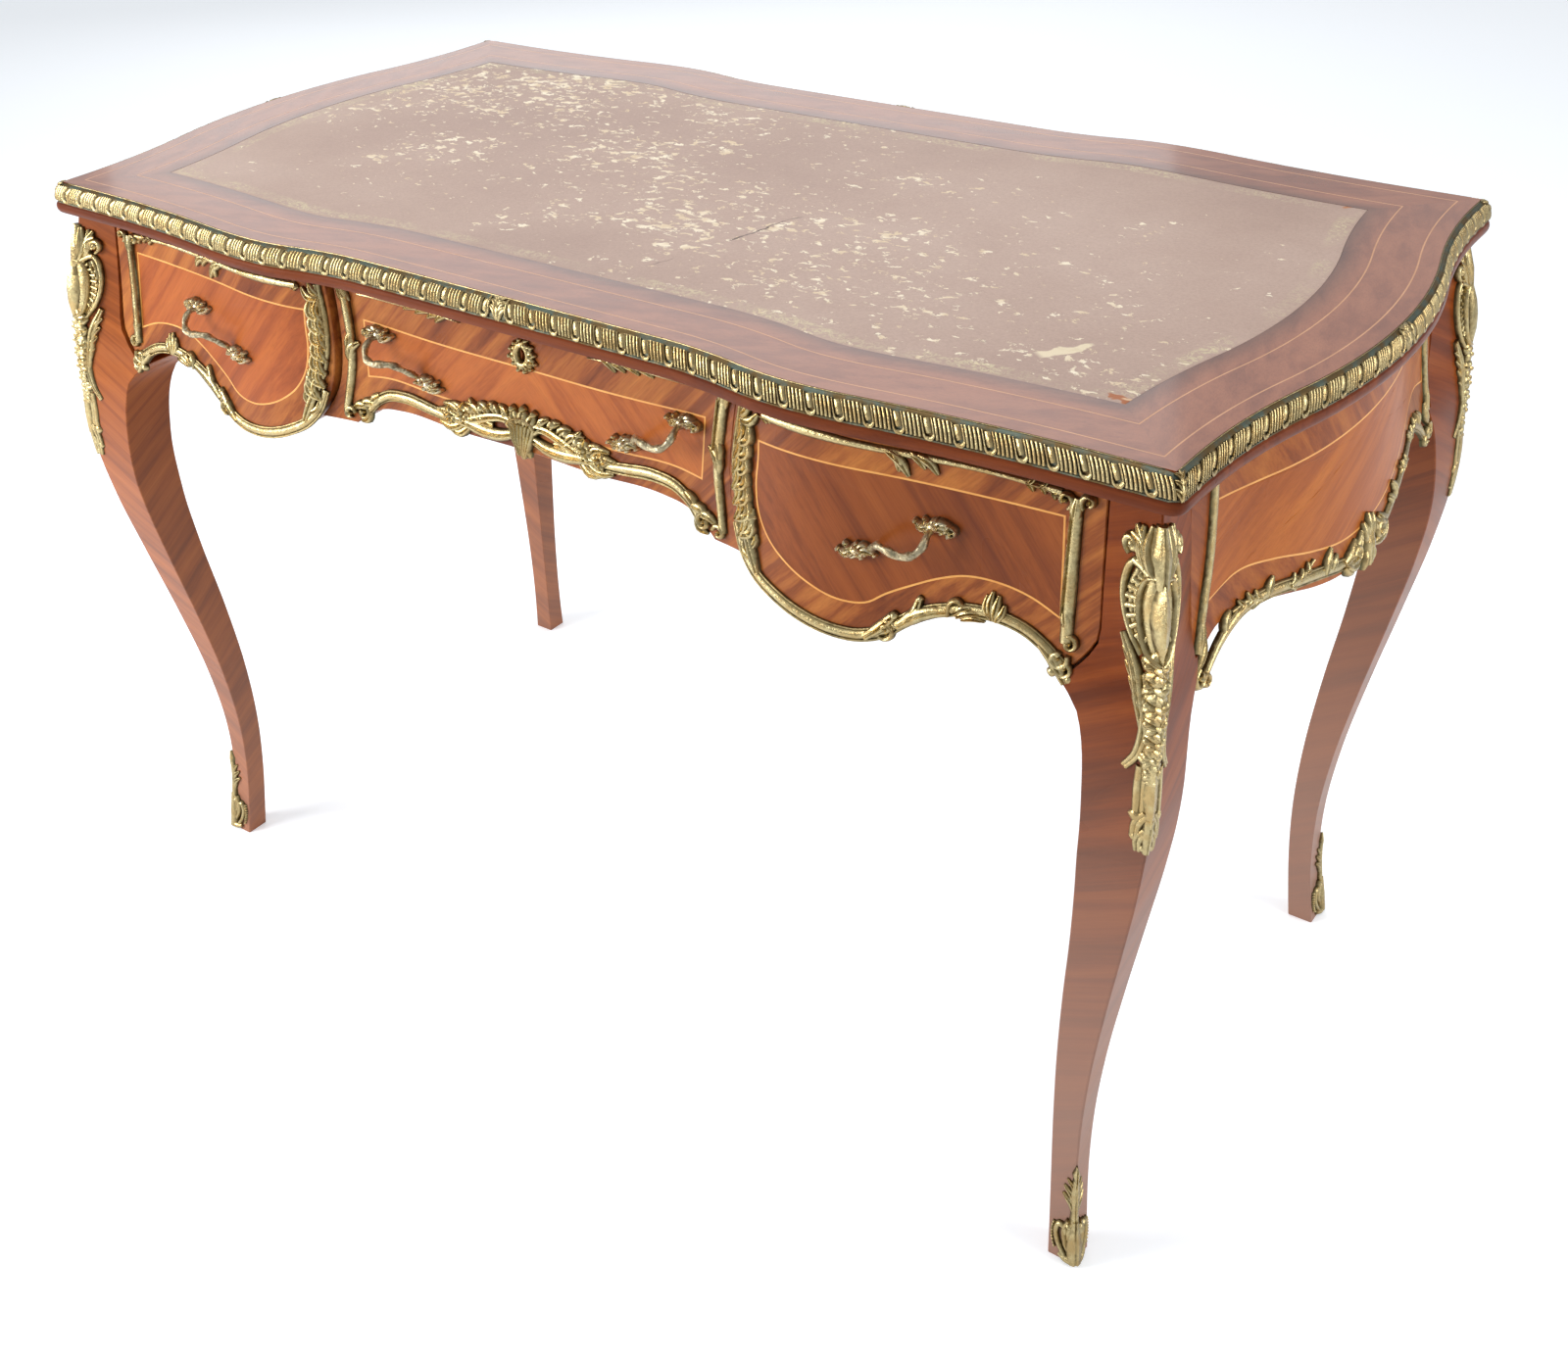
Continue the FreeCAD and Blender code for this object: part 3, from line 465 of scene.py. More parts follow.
def wing_mount(full=True):
    """The mounts of a wing drawer: mould, rods, sprigs and, in front, the chain of leaves."""
    made = [
        reed(WING_MOULD, (8, 10.5, 11, 11, 11, 11, 10.5, 10), (3.2, 3.8), 60),
        leaf([253, 613, 246, 629, 239, 644], (6, 10, 9), (4, 5, 4.6), 10),
        *blades((247, 622, 235, 636, 7, 4.6, .2), (244, 630, 249, 645, 6, 4.4, -.2)),
        bead(239, 645, 4.6, 5.2), *scroll(366, 600, 8, -120, 270, 5, 5),
        leaf([350, 590, 361, 600, 371, 612], (7, 10, 8), (4.4, 5.4, 5), 10),
        *blades((362, 604, 376, 603, 7, 5, .2)), bead(372, 613, 4, 5.6),
        leaf([382, 610, 388, 620, 391, 631], (8, 9, 6), (4.4, 5, 4.2), 8),
        *blades((384, 612, 401, 622, 9, 4.6, .2)), bead(391, 631, 3, 4.6),
        leaf([375, 605, 386, 615, 398, 622, 412, 627], (7, 12, 11, 8), (4.2, 5.4, 4.4), 14),
        rod([414, 624, 414, 634, 420, 638, 426, 634], (3.6, 4.4, 4.4, 3.4), 5.4, 12),
        *blades((418, 627, 434, 636, 6, 5.4, .1), (420, 625, 440, 632, 6, 5.6, .1),
            (424, 624, 442, 627, 5, 5, .1), (447, 631, 442, 648, 7, 4.8, .14),
            (448, 630, 446, 652, 7, 5.4, .08), (449, 630, 451, 650, 7.4, 5.4, 0),
            (450, 630, 456, 644, 7, 5, -.1)), *scroll(500, 617, 8, 30, -330, 6, 5),
        *scroll(506, 611, 7, 200, 320, 5, 4.8), *beads((497, 606, 4.4, 4.8), (510, 604, 4, 4.6)),
        leaf([486, 624, 497, 614, 508, 600], (9, 11, 7), (4, 4.8, 4), 10),
        rod([500, 736, 500.5, 700, 502, 665, 504, 630], (9, 10.5, 11, 10), (3.8, 4.2), 30),
        rod([496.8, 726, 497.2, 700, 498.6, 650], (2, 2.4, 2), 5.2, 20),
        *scroll(491, 733, 6.4, -60, 300, 5, 5.2), *scroll(508.5, 735, 6.4, 240, -300, 5, 5.2),
        *blades((500, 736, 499, 716, 10, 5.4), (504, 641, 500, 656, 9, 5.2)),
        *scroll(507, 630, 6.4, 120, -320, 5, 4.8)]
    if full:
        made.append(leaf([230, 742, 226, 715, 225, 690, 229, 665, 237, 645],
                         (8, 9, 9, 8, 6), (3.2, 3.8, 3), 24))
        for z in range(652, 736, 12):
            x = np.interp(z, (645, 665, 690, 715, 742), (235, 227, 223, 224, 228))
            made += blades((x, z - 15, x + 12, z + 7, 9, 5.8, -.34, 9),
                           (x + 1, z - 16, x + 3, z + 8, 7, 6.2, -.2, 8))
        made += [
            bead(244, 656, 4.6, 6.4),
            *blades((238, 640, 245, 663, 9, 5.4, -.1), (229, 729, 246, 738, 9, 5, -.2),
                (229, 732, 238, 745, 8, 5, -.1)),
            rod([252, 739, 275, 738, 330, 736.5, 369, 737], (7, 8.5, 6, 6), (3.8, 3), 24),
            rod([369, 737, 400, 738, 440, 738.5, 488, 737], (6, 5, 4.5, 6), (3, 3, 3.4), 24),
            *blades((356, 737, 374, 721, 9, 4.6, .12), (362, 738, 366, 723, 8, 4.2, .1),
                (380, 738, 396, 727, 8, 4.2, .14), (374, 739, 386, 729, 7, 4, .1)),
            *acanthus([(462, 738), (476, 737), (492, 731)], 11, 4.4, 3),
            *acanthus([(250, 738), (260, 738)], 10, 4, 2)]
    return made


def open_leaf():
    """The open leaf of two strands beside the shell, and the sprig and mould after it."""
    return [
        leaf([10, 654, 26, 649, 44, 648, 62, 650, 82, 651], (9, 12, 13, 11, 8), (5, 5.6, 4.6), 22),
        leaf([12, 664, 24, 665, 38, 662, 52, 657, 66, 652], (8, 9, 10, 10, 7), (5.2, 6.2, 5), 18),
        leaf([34, 655, 48, 656, 66, 655], (6, 14, 11), (3.6, 4.8, 4.6), 12),
        *flower(68, 659, 9, 7, .4), *flower(83, 653, 8.5, 6.4, .1),
        *beads((21, 671, 4, 6.4), (33, 672, 4.4, 7), (47, 668, 4.4, 6.8), (59, 664, 5, 7.4),
            (72, 659, 3.6, 6.4), (90, 654, 3.4, 5.8)),
        *blades((18, 664, 28, 675, 8, 5.4, .2), (28, 665, 40, 674, 8.5, 5.4, .2),
            (38, 663, 52, 671, 9, 5.6, .2), (46, 657, 66, 668, 9, 6, .2),
            (54, 655, 73, 662, 9, 5.8, .2), (56, 661, 62, 673, 7, 5.2, .1),
            (68, 651, 92, 662, 9, 5, .2), (70, 650, 100, 655, 9, 5.4, .1),
            (68, 649, 97, 645, 9, 5, -.15), (66, 652, 82, 665, 8, 5, .2),
            (62, 647, 86, 641, 8, 4.6, -.2)), bead(70, 652, 4, 6),
        reed([88, 650, 106, 652, 140, 655, 160, 652, 175, 643, 185, 632], (9, 11, 11.5, 11, 10, 8),
            (3.4, 4), 40),
        *blades((170, 650, 182, 637, 10, 5, .1), (176, 641, 194, 632, 10, 5, .2),
            (184, 636, 203, 632, 9, 4.8, .15), (182, 633, 194, 622, 8, 4.6, -.2)),
        *scroll(190, 631, 7.5, 100, 300, 5.4, 5), *scroll(206, 627, 6.5, 170, -300, 5.4, 4.8),
        rod([208, 745, 203.5, 715, 201, 692, 202.5, 668, 207, 645, 210, 628],
            (9, 10, 10, 9.5, 9, 8), (4, 3.8, 4.2), 30),
        rod([201.5, 735, 198.5, 710, 197, 690], (2, 2.4, 2), 5, 14),
        *blades((203, 678, 192, 694, 10, 5.2, -.2), (203, 684, 200, 704, 9, 5, -.1),
            (204, 690, 203, 674, 9, 5), (208, 746, 200, 730, 9, 5, .1),
            (210, 746, 208, 728, 8, 4.8)),
        rod([70, 737, 94, 738, 130, 738.5, 190, 738], (2, 4, 4, 3), 2.6, 24),
        *blades((84, 740, 98, 731, 7, 4, .1), (92, 739, 108, 733, 7, 3.8, .1),
            (106, 739, 122, 734, 6.4, 3.6, .1), (120, 739, 136, 735, 6, 3.4, .1))]


def centre_mount():
    """The mounts of the centre drawer: fluted shell, open leaves, moulds and side rods."""
    half = open_leaf()
    made = half + mirrored(half)
    for lean in (i / 3 for i in range(-3, 4)):
        made.append(rod([(lean * 3, 637), (lean * 9, 650), (lean * 13.5, 664)],
                        (2.6, 4.4, 5.2), (4.6, 7.2, 6.6)))
    for x, z, turn, size in ((0, 668, 90, 13), (-8, 667, 118, 12), (8, 667, 62, 12),
                             (-13, 664, 150, 10), (13, 664, 30, 10)):
        t = math.radians(turn)
        tip = (x + 8 * math.cos(t), z + 10 * math.sin(t))
        made += [blade((x * .8, z - 5), tip, size, 6.4, 0, 8), bead(*tip, 3.8, 6.8)]
    return made + [
        rod([-15, 664, -8, 668, 0, 669.5, 8, 668, 15, 664], 4.4, 7.4, 12),
        *blades((-2, 646, -7, 636, 8, 5), (2, 646, 7, 636, 8, 5), (0, 648, 0, 634, 8, 5.6))]


def escutcheon_mount():
    """The leafy ring round the keyhole."""
    made = []
    for i in range(12):
        t = i * 2 * math.pi / 12
        far = random.uniform(.9, 1.08)
        root = (7.0 * math.cos(t), 723.5 + 7.5 * math.sin(t))
        tip = (13.6 * far * math.cos(t + .2), 723.5 + 13.4 * far * math.sin(t + .2))
        made += [blade(root, tip, 8.4, random.uniform(3.6, 5), .12, 5), bead(*tip, 2.4, 4.6)]
    ring = [(6.8 * math.cos(t), 724 + 8.6 * math.sin(t)) for t in np.linspace(0, 2 * math.pi, 13)]
    return made + [rod(ring, 6, 4.4, 24)]


def end_mount():
    """The mounts of an end: rods, border and leaves on both sides, and an upright leaf."""
    half = [
        rod([211, 745, 212.5, 715, 216.5, 680, 225, 648, 236, 612], (8, 9, 9.5, 9.5, 9), (3.6, 4),
            36),
        reed([20, 597, 50, 603, 80, 610, 112, 616, 145, 621, 178, 620, 205, 608, 230, 588],
            (8, 11, 11, 11, 11, 11, 10, 8), (3.2, 4), 44), *scroll(236, 592, 8.5, 80, -330, 6, 5.4),
        *scroll(228, 586, 6, 60, 300, 5, 5),
        *blades((238, 600, 226, 622, 9, 5, .1), (234, 610, 230, 640, 8, 5, .05)),
        *acanthus([(122, 617), (106, 618), (90, 625)], 15, 4.8, 3),
        *blades((74, 606, 64, 624, 10, 5, -.1), (64, 606, 55, 615, 9, 4.8, -.1)),
        *acanthus([(156, 620), (172, 625), (190, 624)], 15, 4.8, 3),
        *blades((200, 612, 192, 626, 9, 4.8, -.2), (148, 619, 140, 632, 9, 4.6, -.1),
            (44, 602, 24, 614, 11, 5.6, .1, 7), (40, 600, 16, 604, 11, 5.6, .1, 7),
            (40, 598, 14, 594, 11, 5.6, .1, 7), (44, 600, 26, 590, 11, 5.6, .1, 7),
            (30, 602, 12, 616, 11, 5.6, .1, 7)), *scroll(24, 601, 8.5, 20, 300, 5.6, 6)]
    return [
        *half, *mirrored(half), leaf([0, 583, 0, 600, 0, 616], (10, 18, 12), (6, 7.4, 5.4), 10),
        *blades((5, 604, 10, 622, 9, 6.4, 0, 7), (-5, 604, -10, 622, 9, 6.4, 0, 7),
            (0, 608, 0, 626, 9, 6.4, 0, 7), (5, 596, 9, 581, 9, 6.4, 0, 7),
            (-5, 596, -9, 581, 9, 6.4, 0, 7))]


def knee_mount():
    """The tall mount on the arris of a knee, drawn on both faces of the leg."""
    half = [
        rod([16, 712, 25, 707, 31, 694, 31, 678, 25, 662, 14, 648], (4, 6, 6, 6, 5.5, 4), (4.4, 5),
            24),
        rod([2, 706, 10, 702, 15.5, 693, 17, 680, 14.5, 664, 8, 651, 2, 646], (4.4, 4.8, 5, 5, 4.6),
            (6, 6.4), 24),
        leaf([18, 704, 23, 692, 23.5, 678, 19, 662, 12, 650], (8, 11, 11, 9, 6), (2.4, 2.8, 2.4),
            16), rod([6, 652, 9.5, 668, 10, 686, 6, 704], (9, 15, 15, 10), (3, 3.8, 3), 14)]
    for i in range(9):
        t = math.radians(62 - i * 15.5)
        inner = (3 + 15 * math.cos(t), 680 + 20 * math.sin(t))
        outer = (3 + 25 * math.cos(t - .1), 680 + 26 * math.sin(t - .1))
        half.append(rod((inner, outer), (3.4, 5.6), (3.4, 4.8), 4))
    half += [
        *scroll(23, 720, 7, -70, 330, 6.4, 5.6), bead(23, 720, 4.4, 6.4),
        leaf([9, 702, 12, 714, 16, 724, 23, 727], (8, 11, 11, 8), (4.6, 6, 5), 14),
        *blades((4, 702, 6, 737, 12, 6.4, -.08, 9), (11, 706, 14, 735, 10, 5.6, -.12, 9),
            (13, 712, 20, 734, 10, 5.4, .1, 7)), rod([8, 704, 15, 708, 22, 710], 7, 5, 6),
        leaf([9, 590, 14, 612, 19, 634, 31, 657], (7, 10, 11, 6), (3.4, 4.6, 3.4), 16),
        leaf([9, 612, 10, 590, 15, 572, 23, 561], (8, 9, 8, 6), (3.8, 4.2, 3.4), 14),
        *blades((15, 616, 24, 628, 7, 4, .1), (18, 626, 28, 638, 7, 4, .1),
            (21, 636, 31, 647, 6, 4, .1), (12, 606, 20, 616, 7, 4, .1)),
        rod([11, 566, 12, 548, 12, 530], (6, 7, 6), 4.4, 8), bead(12, 526, 5.4, 6),
        leaf([4, 530, 10, 520, 11, 508], (7, 9, 8), (4.6, 5), 8),
        leaf([3, 516, 8, 506, 7, 497], (6, 8, 6), (4.6, 5), 8),
        *beads((4, 500, 3.6, 5), (11, 508, 4, 5.4)),
        leaf([3, 650, 4, 610, 4, 570, 4, 530], (12, 16, 14, 12), (2.4, 2.6), 18)]
    made = [
        *half, *mirrored(half),
        rod([0, 648, 0, 660, 0, 675, 0, 690, 0, 702], (6, 13, 17, 14, 7), (5, 7.8, 8.6, 7.8, 5.4),
            16), leaf([0, 698, 0, 720, 0, 739], (12, 16, 10), (6, 7.6, 5.4), 10),
        rod([0, 566, 0, 548, 0, 520], (12, 15, 10), (5, 6.4, 5), 10),
        leaf([0, 526, 0, 510, 0, 496], (10, 12, 8), (6, 5), 8)]
    for z, size in ((641, 14), (627, 13.5), (613, 13), (599, 12.5), (586, 12), (573, 11.5),
                    (561, 10)):
        made += flower(random.uniform(-1.5, 1.5), z, size, 5.4, random.uniform(0, 1))
        made += [bead(size * .6 * math.cos(t), z + 5 * math.sin(t), 3.4,
                      random.uniform(6, 7.6)) for t in (.4, 2.6, 4.7)]
    return made


def sabot_mount():
    """The shoe of a leg: leaf up the arris, scrolls with a beaded edge, and its skirt."""
    half = [
        rod([8, 31, 8.5, 37, 13, 38.5, 16, 33, 15.5, 21, 9, 8], (4.6, 5.6, 5.6, 5.2, 5.2, 5.6),
            (4.4, 4.2), 24), leaf([2, 10, 5.5, 20, 7.5, 32, 4, 46], (7, 10, 9, 6), (4, 5), 12),
        rod([2, 4.8, 8, 5, 14, 7.5], (8.4, 8, 5.6), (6, 3.6), 10),
        *blades((2, 56, 11, 73, 6.4, 3.8, .15), (2, 64, 10, 82, 6, 3.6, .15),
            (1.5, 73, 7.5, 90, 5.4, 3.4, .15)), bead(5, 41, 3.2, 6),
        *(bead(20.4 - .012 * (z - 25) ** 2, z, 1.5, 3.4) for z in np.linspace(12, 37, 9))]
    return [
        *half, *mirrored(half), leaf([0, 38, 0, 55, 0, 72, 0, 92], (12, 8, 11, 6), (5, 4.4, 4), 14),
        leaf([0, 88, 0, 96, 0, 107], (4, 8.4, 2), (4, 4.6, 2.6), 8),
        leaf([0, 3, 0, 11, 0, 24, 0, 48], (13, 16, 12, 8), (6.4, 7, 5.6), 12)]


# Finishes
def feed(made, **given):
    """Gives a node its inputs, by name or by number: sockets are linked, values are set."""
    for key, value in given.items():
        socket = made.inputs[int(key[1:]) if key[1:].isdigit() else key.replace("_", " ")]
        if isinstance(value, bpy.types.NodeSocket):
            made.id_data.links.new(value, socket)
        else:
            socket.default_value = value
    return made


def node(tree, kind, settings=None, **given):
    made = tree.nodes.new("ShaderNode" + kind)
    for key, value in (settings or {}).items():
        setattr(made, key, value)
    return feed(made, **given)


def tree_of(*values):
    """The tree that the first socket among some values belongs to."""
    return next(value.id_data for value in values if isinstance(value, bpy.types.NodeSocket))


def ramp(value, *stops):
    """A ramp over places and their colours, or their greys where a number is given."""
    made = node(value.id_data, "ValToRGB", i0=value)
    while len(made.color_ramp.elements) < len(stops):
        made.color_ramp.elements.new(.5)
    for element, (place, colour) in zip(made.color_ramp.elements, stops):
        element.position = place
        element.color = (*(colour if isinstance(colour, tuple) else (colour,) * 3), 1)
    return made.outputs["Color"]


def mix(factor, first, second, mode="MIX"):
    return node(tree_of(factor, first, second), "Mix", {"data_type": "RGBA", "blend_type": mode},
                i0=factor, i6=first, i7=second).outputs[2]


def reckoned(operation, *values, clamp=False):
    return node(tree_of(*values), "Math", {"operation": operation, "use_clamp": clamp},
                **{"i%d" % i: value for i, value in enumerate(values)}).outputs[0]


def plus(first, second, clamp=False):
    return reckoned("ADD", first, second, clamp=clamp)


def minus(first, second):
    return reckoned("SUBTRACT", first, second)


def times(first, second):
    return reckoned("MULTIPLY", first, second)


def size_of(value):
    return reckoned("ABSOLUTE", value)


def noise(place, scale, detail=2, roughness=.5, distortion=0):
    return node(place.id_data, "TexNoise", Vector=place, Scale=scale, Detail=detail,
                Roughness=roughness, Distortion=distortion).outputs[0]


def moved(place, settings=None, **given):
    return node(place.id_data, "Mapping", settings, Vector=place, **given).outputs[0]


def mark(tree, name):
    return node(tree, "Attribute", {"attribute_name": name}).outputs["Fac"]


def bumped(height, strength, distance):
    return node(height.id_data, "Bump", Strength=strength, Distance=distance,
                Height=height).outputs[0]


def group_tree(name, inputs, outputs):
    """An empty node group: its tree, the sockets that it is given and the node that ends it."""
    tree = bpy.data.node_groups.new(name, "ShaderNodeTree")
    for way, labels in (("INPUT", inputs), ("OUTPUT", outputs)):
        for label in labels.split():
            kind = "Color" if label in COLOURS else "Vector" if label == "Vector" else "Float"
            tree.interface.new_socket(label, in_out=way, socket_type="NodeSocket" + kind)
    return tree, tree.nodes.new("NodeGroupInput").outputs, tree.nodes.new("NodeGroupOutput")


def wood_group():
    """Figured veneer: long streaks, fine pores and slow changes of tone along its grain."""
    tree, given, out = group_tree("veneer_figure", "Vector Light Mid Dark Contrast",
                                  "Color Height Gloss")
    place = given["Vector"]
    streak = noise(moved(place, Scale=(75, 75, 3.2)), 1, 5, .62, .35)
    pores = noise(moved(place, Scale=(900, 900, 22)), 1, 3, .7)
    cloud = noise(moved(place, Scale=(16, 16, 3)), 1, 2, .5, .6)
    tone = minus(plus(times(streak, .65), times(cloud, .35)), .5)
    tone = plus(.5, times(tone, given["Contrast"]), clamp=True)
    colour = mix(ramp(tone, (.30, 0), (.52, 1)), given["Dark"], given["Mid"])
    colour = mix(ramp(tone, (.48, 0), (.72, 1)), colour, given["Light"])
    feed(out, Color=mix(.55, colour, ramp(pores, (.36, .72), (.55, 1)), "MULTIPLY"),
         Height=pores, Gloss=plus(.2, times(cloud, .22)))
    return tree


def gilt_group():
    """Old gilt bronze: bright where it is rubbed on its raised parts; dark and greenish in the
    hollows, from patina and painted shade.
    """
    tree, given, out = group_tree("old_gilding", "Vector Rise Bright Deep Green",
                                  "Color Roughness Height")
    spots, worn = noise(given["Vector"], 260, 4, .65), noise(given["Vector"], 60, 4, .6)
    level = plus(given["Rise"], times(minus(spots, .5), .8))
    # Patina with painted shade: the low edges of each stroke, where it meets the face, take the
    # dark and greenish colours, and the raised parts take the bright gilding.
    raised = ramp(plus(level, times(minus(worn, .5), 1.1)), (.30, 0), (.95, 1))
    patch = ramp(worn, (.42, 0), (.58, 1))
    rubbed = mix(1.0, given["Bright"], (.80, .70, .60, 1), "MULTIPLY")
    colour = mix(raised, mix(patch, given["Deep"], given["Green"]),
                 mix(patch, given["Bright"], rubbed))
    rough = plus(minus(.48, times(raised, .26)), times(spots, .08))
    feed(out, Color=colour, Roughness=rough, Height=spots)
    return tree


def plain_group():
    """A slow change between two tones, and a gloss that follows it."""
    tree, given, out = group_tree("slow_tone", "Vector Light Dark Scale Roughness",
                                  "Color Roughness Height")
    tone = noise(given["Vector"], given["Scale"], 5, .6)
    feed(out, Color=mix(ramp(tone, (.3, 0), (.7, 1)), given["Dark"], given["Light"]),
         Roughness=plus(given["Roughness"], times(tone, .12)), Height=tone)
    return tree


WOOD, GILT, PLAIN = wood_group(), gilt_group(), plain_group()
finishes = {}


def shader(name):
    """The principled shader of a new finish."""
    material = finishes[name] = bpy.data.materials.new(name)
    material.use_nodes = True
    return material.node_tree.nodes["Principled BSDF"]


def place_on(surface):
    return node(surface.id_data, "TexCoord").outputs["Object"]


def veneer(name, light, mid, dark, turn, contrast, coat=.08, specular=.2, folded=None, shift=0,
           shaded=False, foot_sheen=1.0):
    """A polished veneer whose grain is turned from upright; folded mirrors it about x = 0.

    On a leg the figure runs round the arris, and a painted sheen, standing in for a glossy
    reflection, pales it towards the foot; shaded darkens a border next to the leather.
    """
    surface = shader(name)
    tree, place = surface.id_data, place_on(surface)
    if folded:
        x, y, z = node(tree, "SeparateXYZ", Vector=place).outputs
        across, along = size_of(x), y
        if folded == "leg":
            across, along = minus(across, size_of(y)), 0.0
        place = node(tree, "CombineXYZ", X=across, Y=along, Z=z).outputs[0]
    place = moved(place, {"vector_type": "TEXTURE"}, Rotation=turn, Location=(shift,) * 3)
    figure = node(tree, "Group", {"node_tree": WOOD}, Vector=place, Light=(*light, 1),
                  Mid=(*mid, 1), Dark=(*dark, 1), Contrast=contrast).outputs
    colour = figure["Color"]
    if folded == "leg":
        # Painted sheen: lower down a leg the colour is mixed towards a pale grey-pink, standing in
        # for a glossy reflection.
        low = ramp(z, (.15, .52), (.45, .26), (.62, 0))
        colour = mix(times(low, foot_sheen), colour, (.42, .27, .21, 1))
    if shaded:
        shade = ramp(mark(tree, "inward"), (.55, 1), (.72, (.52, .56, .62)))
        colour = mix(1.0, colour, shade, "MULTIPLY")
    feed(surface, Base_Color=colour, Roughness=figure["Gloss"], Coat_Weight=coat,
         Coat_Roughness=.09, Specular_IOR_Level=specular,
         Normal=bumped(figure["Height"], .04, .0004))


def gilt(name, bright, deep, green):
    surface = shader(name)
    made = node(surface.id_data, "Group", {"node_tree": GILT}, Vector=place_on(surface),
                Rise=mark(surface.id_data, "rise"), Bright=(*bright, 1), Deep=(*deep, 1),
                Green=(*green, 1)).outputs
    feed(surface, Base_Color=made["Color"], Roughness=made["Roughness"], Metallic=1.0,
         Normal=bumped(made["Height"], .6, .0010))


def plain(name, light, dark, scale, roughness, stretch=(1, 1, 1), metallic=0.0):
    surface = shader(name)
    made = node(surface.id_data, "Group", {"node_tree": PLAIN}, Light=(*light, 1),
                Vector=moved(place_on(surface), Scale=stretch), Dark=(*dark, 1), Scale=scale,
                Roughness=roughness).outputs
    feed(surface, Base_Color=made["Color"], Roughness=made["Roughness"], Metallic=metallic,
         Normal=bumped(made["Height"], .25, .0003))


# Middle, turn, half length, half width and colour of each crack and torn patch
SPLITS = (((88, -67), 1.35, 44, 1.3, (.16, .11, .09)),
          ((64, -175), 1.3, 13, .9, (.22, .15, .12)),
          ((497, -222), -.35, 17, 3.6, (.36, .11, .03)),
          ((503, -219), .25, 10, 2.0, (.62, .40, .24)),
          ((487, 236), 1.1, 17, 3.2, (.42, .15, .05)),
          ((424, -166), .95, 24, 7, (.70, .58, .40)),
          ((-505, -236), .3, 14, 3.0, (.42, .15, .05)))


def leather(name):
    """Worn tooled leather: dull mauve brown, flaked to a pale ground along a broad band."""
    surface = shader(name)
    place = place_on(surface)
    x, y, _ = node(surface.id_data, "SeparateXYZ", Vector=place).outputs
    colour = ramp(noise(place, 3.2, 4, .6), (.3, (.37, .245, .195)), (.5, (.43, .295, .235)),
                  (.7, (.49, .350, .285)))
    grain = noise(place, 420, 4, .7)
    colour = mix(.5, colour, ramp(grain, (.3, (.7, .68, .66)), (.6, 1)), "MULTIPLY")

    band = minus(1.0, size_of(times(plus(times(x, .45), y), 4.6)))
    load = minus(plus(times(band, .07), times(noise(place, 6.5, 3, .7), .34)), times(x, .05))
    chips = noise(moved(place, Scale=(1, 1.35, 1), Rotation=(0, 0, .3)), 85, 8, .66, .4)
    flaked = ramp(plus(chips, load), (.795, 0), (.81, 1))
    pale = ramp(noise(place, 55, 3), (.4, (.66, .52, .36)), (.6, (.82, .72, .56)))
    colour = mix(flaked, colour, pale)

    tooled = ramp(mark(surface.id_data, "inward"), (.74, 0), (.76, 1), (.88, 1), (.91, 0))
    sparks = ramp(noise(place, 150, 2, .5, 1.2), (.44, 0), (.49, 1), (.53, 1), (.58, 0))
    faded = ramp(noise(place, 14), (.4, 0), (.62, 1))
    colour = mix(times(times(times(tooled, sparks), faded), .6), colour, (.62, .55, .32, 1))

    ragged = times(minus(noise(place, 45, 4), .5), .022)
    for middle, turn, half_length, half_width, tint in SPLITS:
        local = moved(place, {"vector_type": "TEXTURE"}, Rotation=(0, 0, turn),
                      Location=(middle[0] * MM, middle[1] * MM, 0))
        along, off, _ = node(surface.id_data, "SeparateXYZ", Vector=local).outputs
        thin = reckoned("DIVIDE", size_of(plus(off, ragged)), half_width * MM)
        along = reckoned("DIVIDE", size_of(along), half_length * MM)
        far = reckoned("MAXIMUM", plus(thin, times(along, .4)), along)
        colour = mix(ramp(far, (.8, 1), (1, 0)), colour, (*tint, 1))
    feed(surface, Base_Color=colour, Normal=bumped(minus(times(grain, .5), flaked), .5, .0006),
         Roughness=plus(plus(.42, times(flaked, .3)), times(grain, .1)))


# The right wing's field is a darker copy of the wing veneer: painted shade for the side away from
# the key light. The left field keeps about the centre's tone.
veneer("field_right", (.34, .088, .016), (.24, .056, .011), (.13, .027, .007), (0, -.68, 0), 1.0)
veneer("field_left", (.50, .135, .024), (.37, .085, .016), (.22, .044, .009), (0, .75, 0), 1.0,
       shift=.3)
veneer("field_centre", (.52, .148, .028), (.40, .100, .019), (.24, .052, .011), (0, -.80, 0), 1.0,
       folded="centre")
veneer("field_side", (.50, .150, .024), (.39, .102, .017), (.27, .063, .012), (-1.15, 0, 0), .9,
       .05, .12, shift=.7)
veneer("band_front", (.50, .170, .034), (.31, .082, .017), (.15, .033, .009), (0, .75, 0), 1.6,
       shift=.5)
veneer("band_side", (.44, .140, .026), (.31, .080, .016), (.17, .038, .010), (.7, 0, 0), 1.2,
       .05, .12, shift=.1)
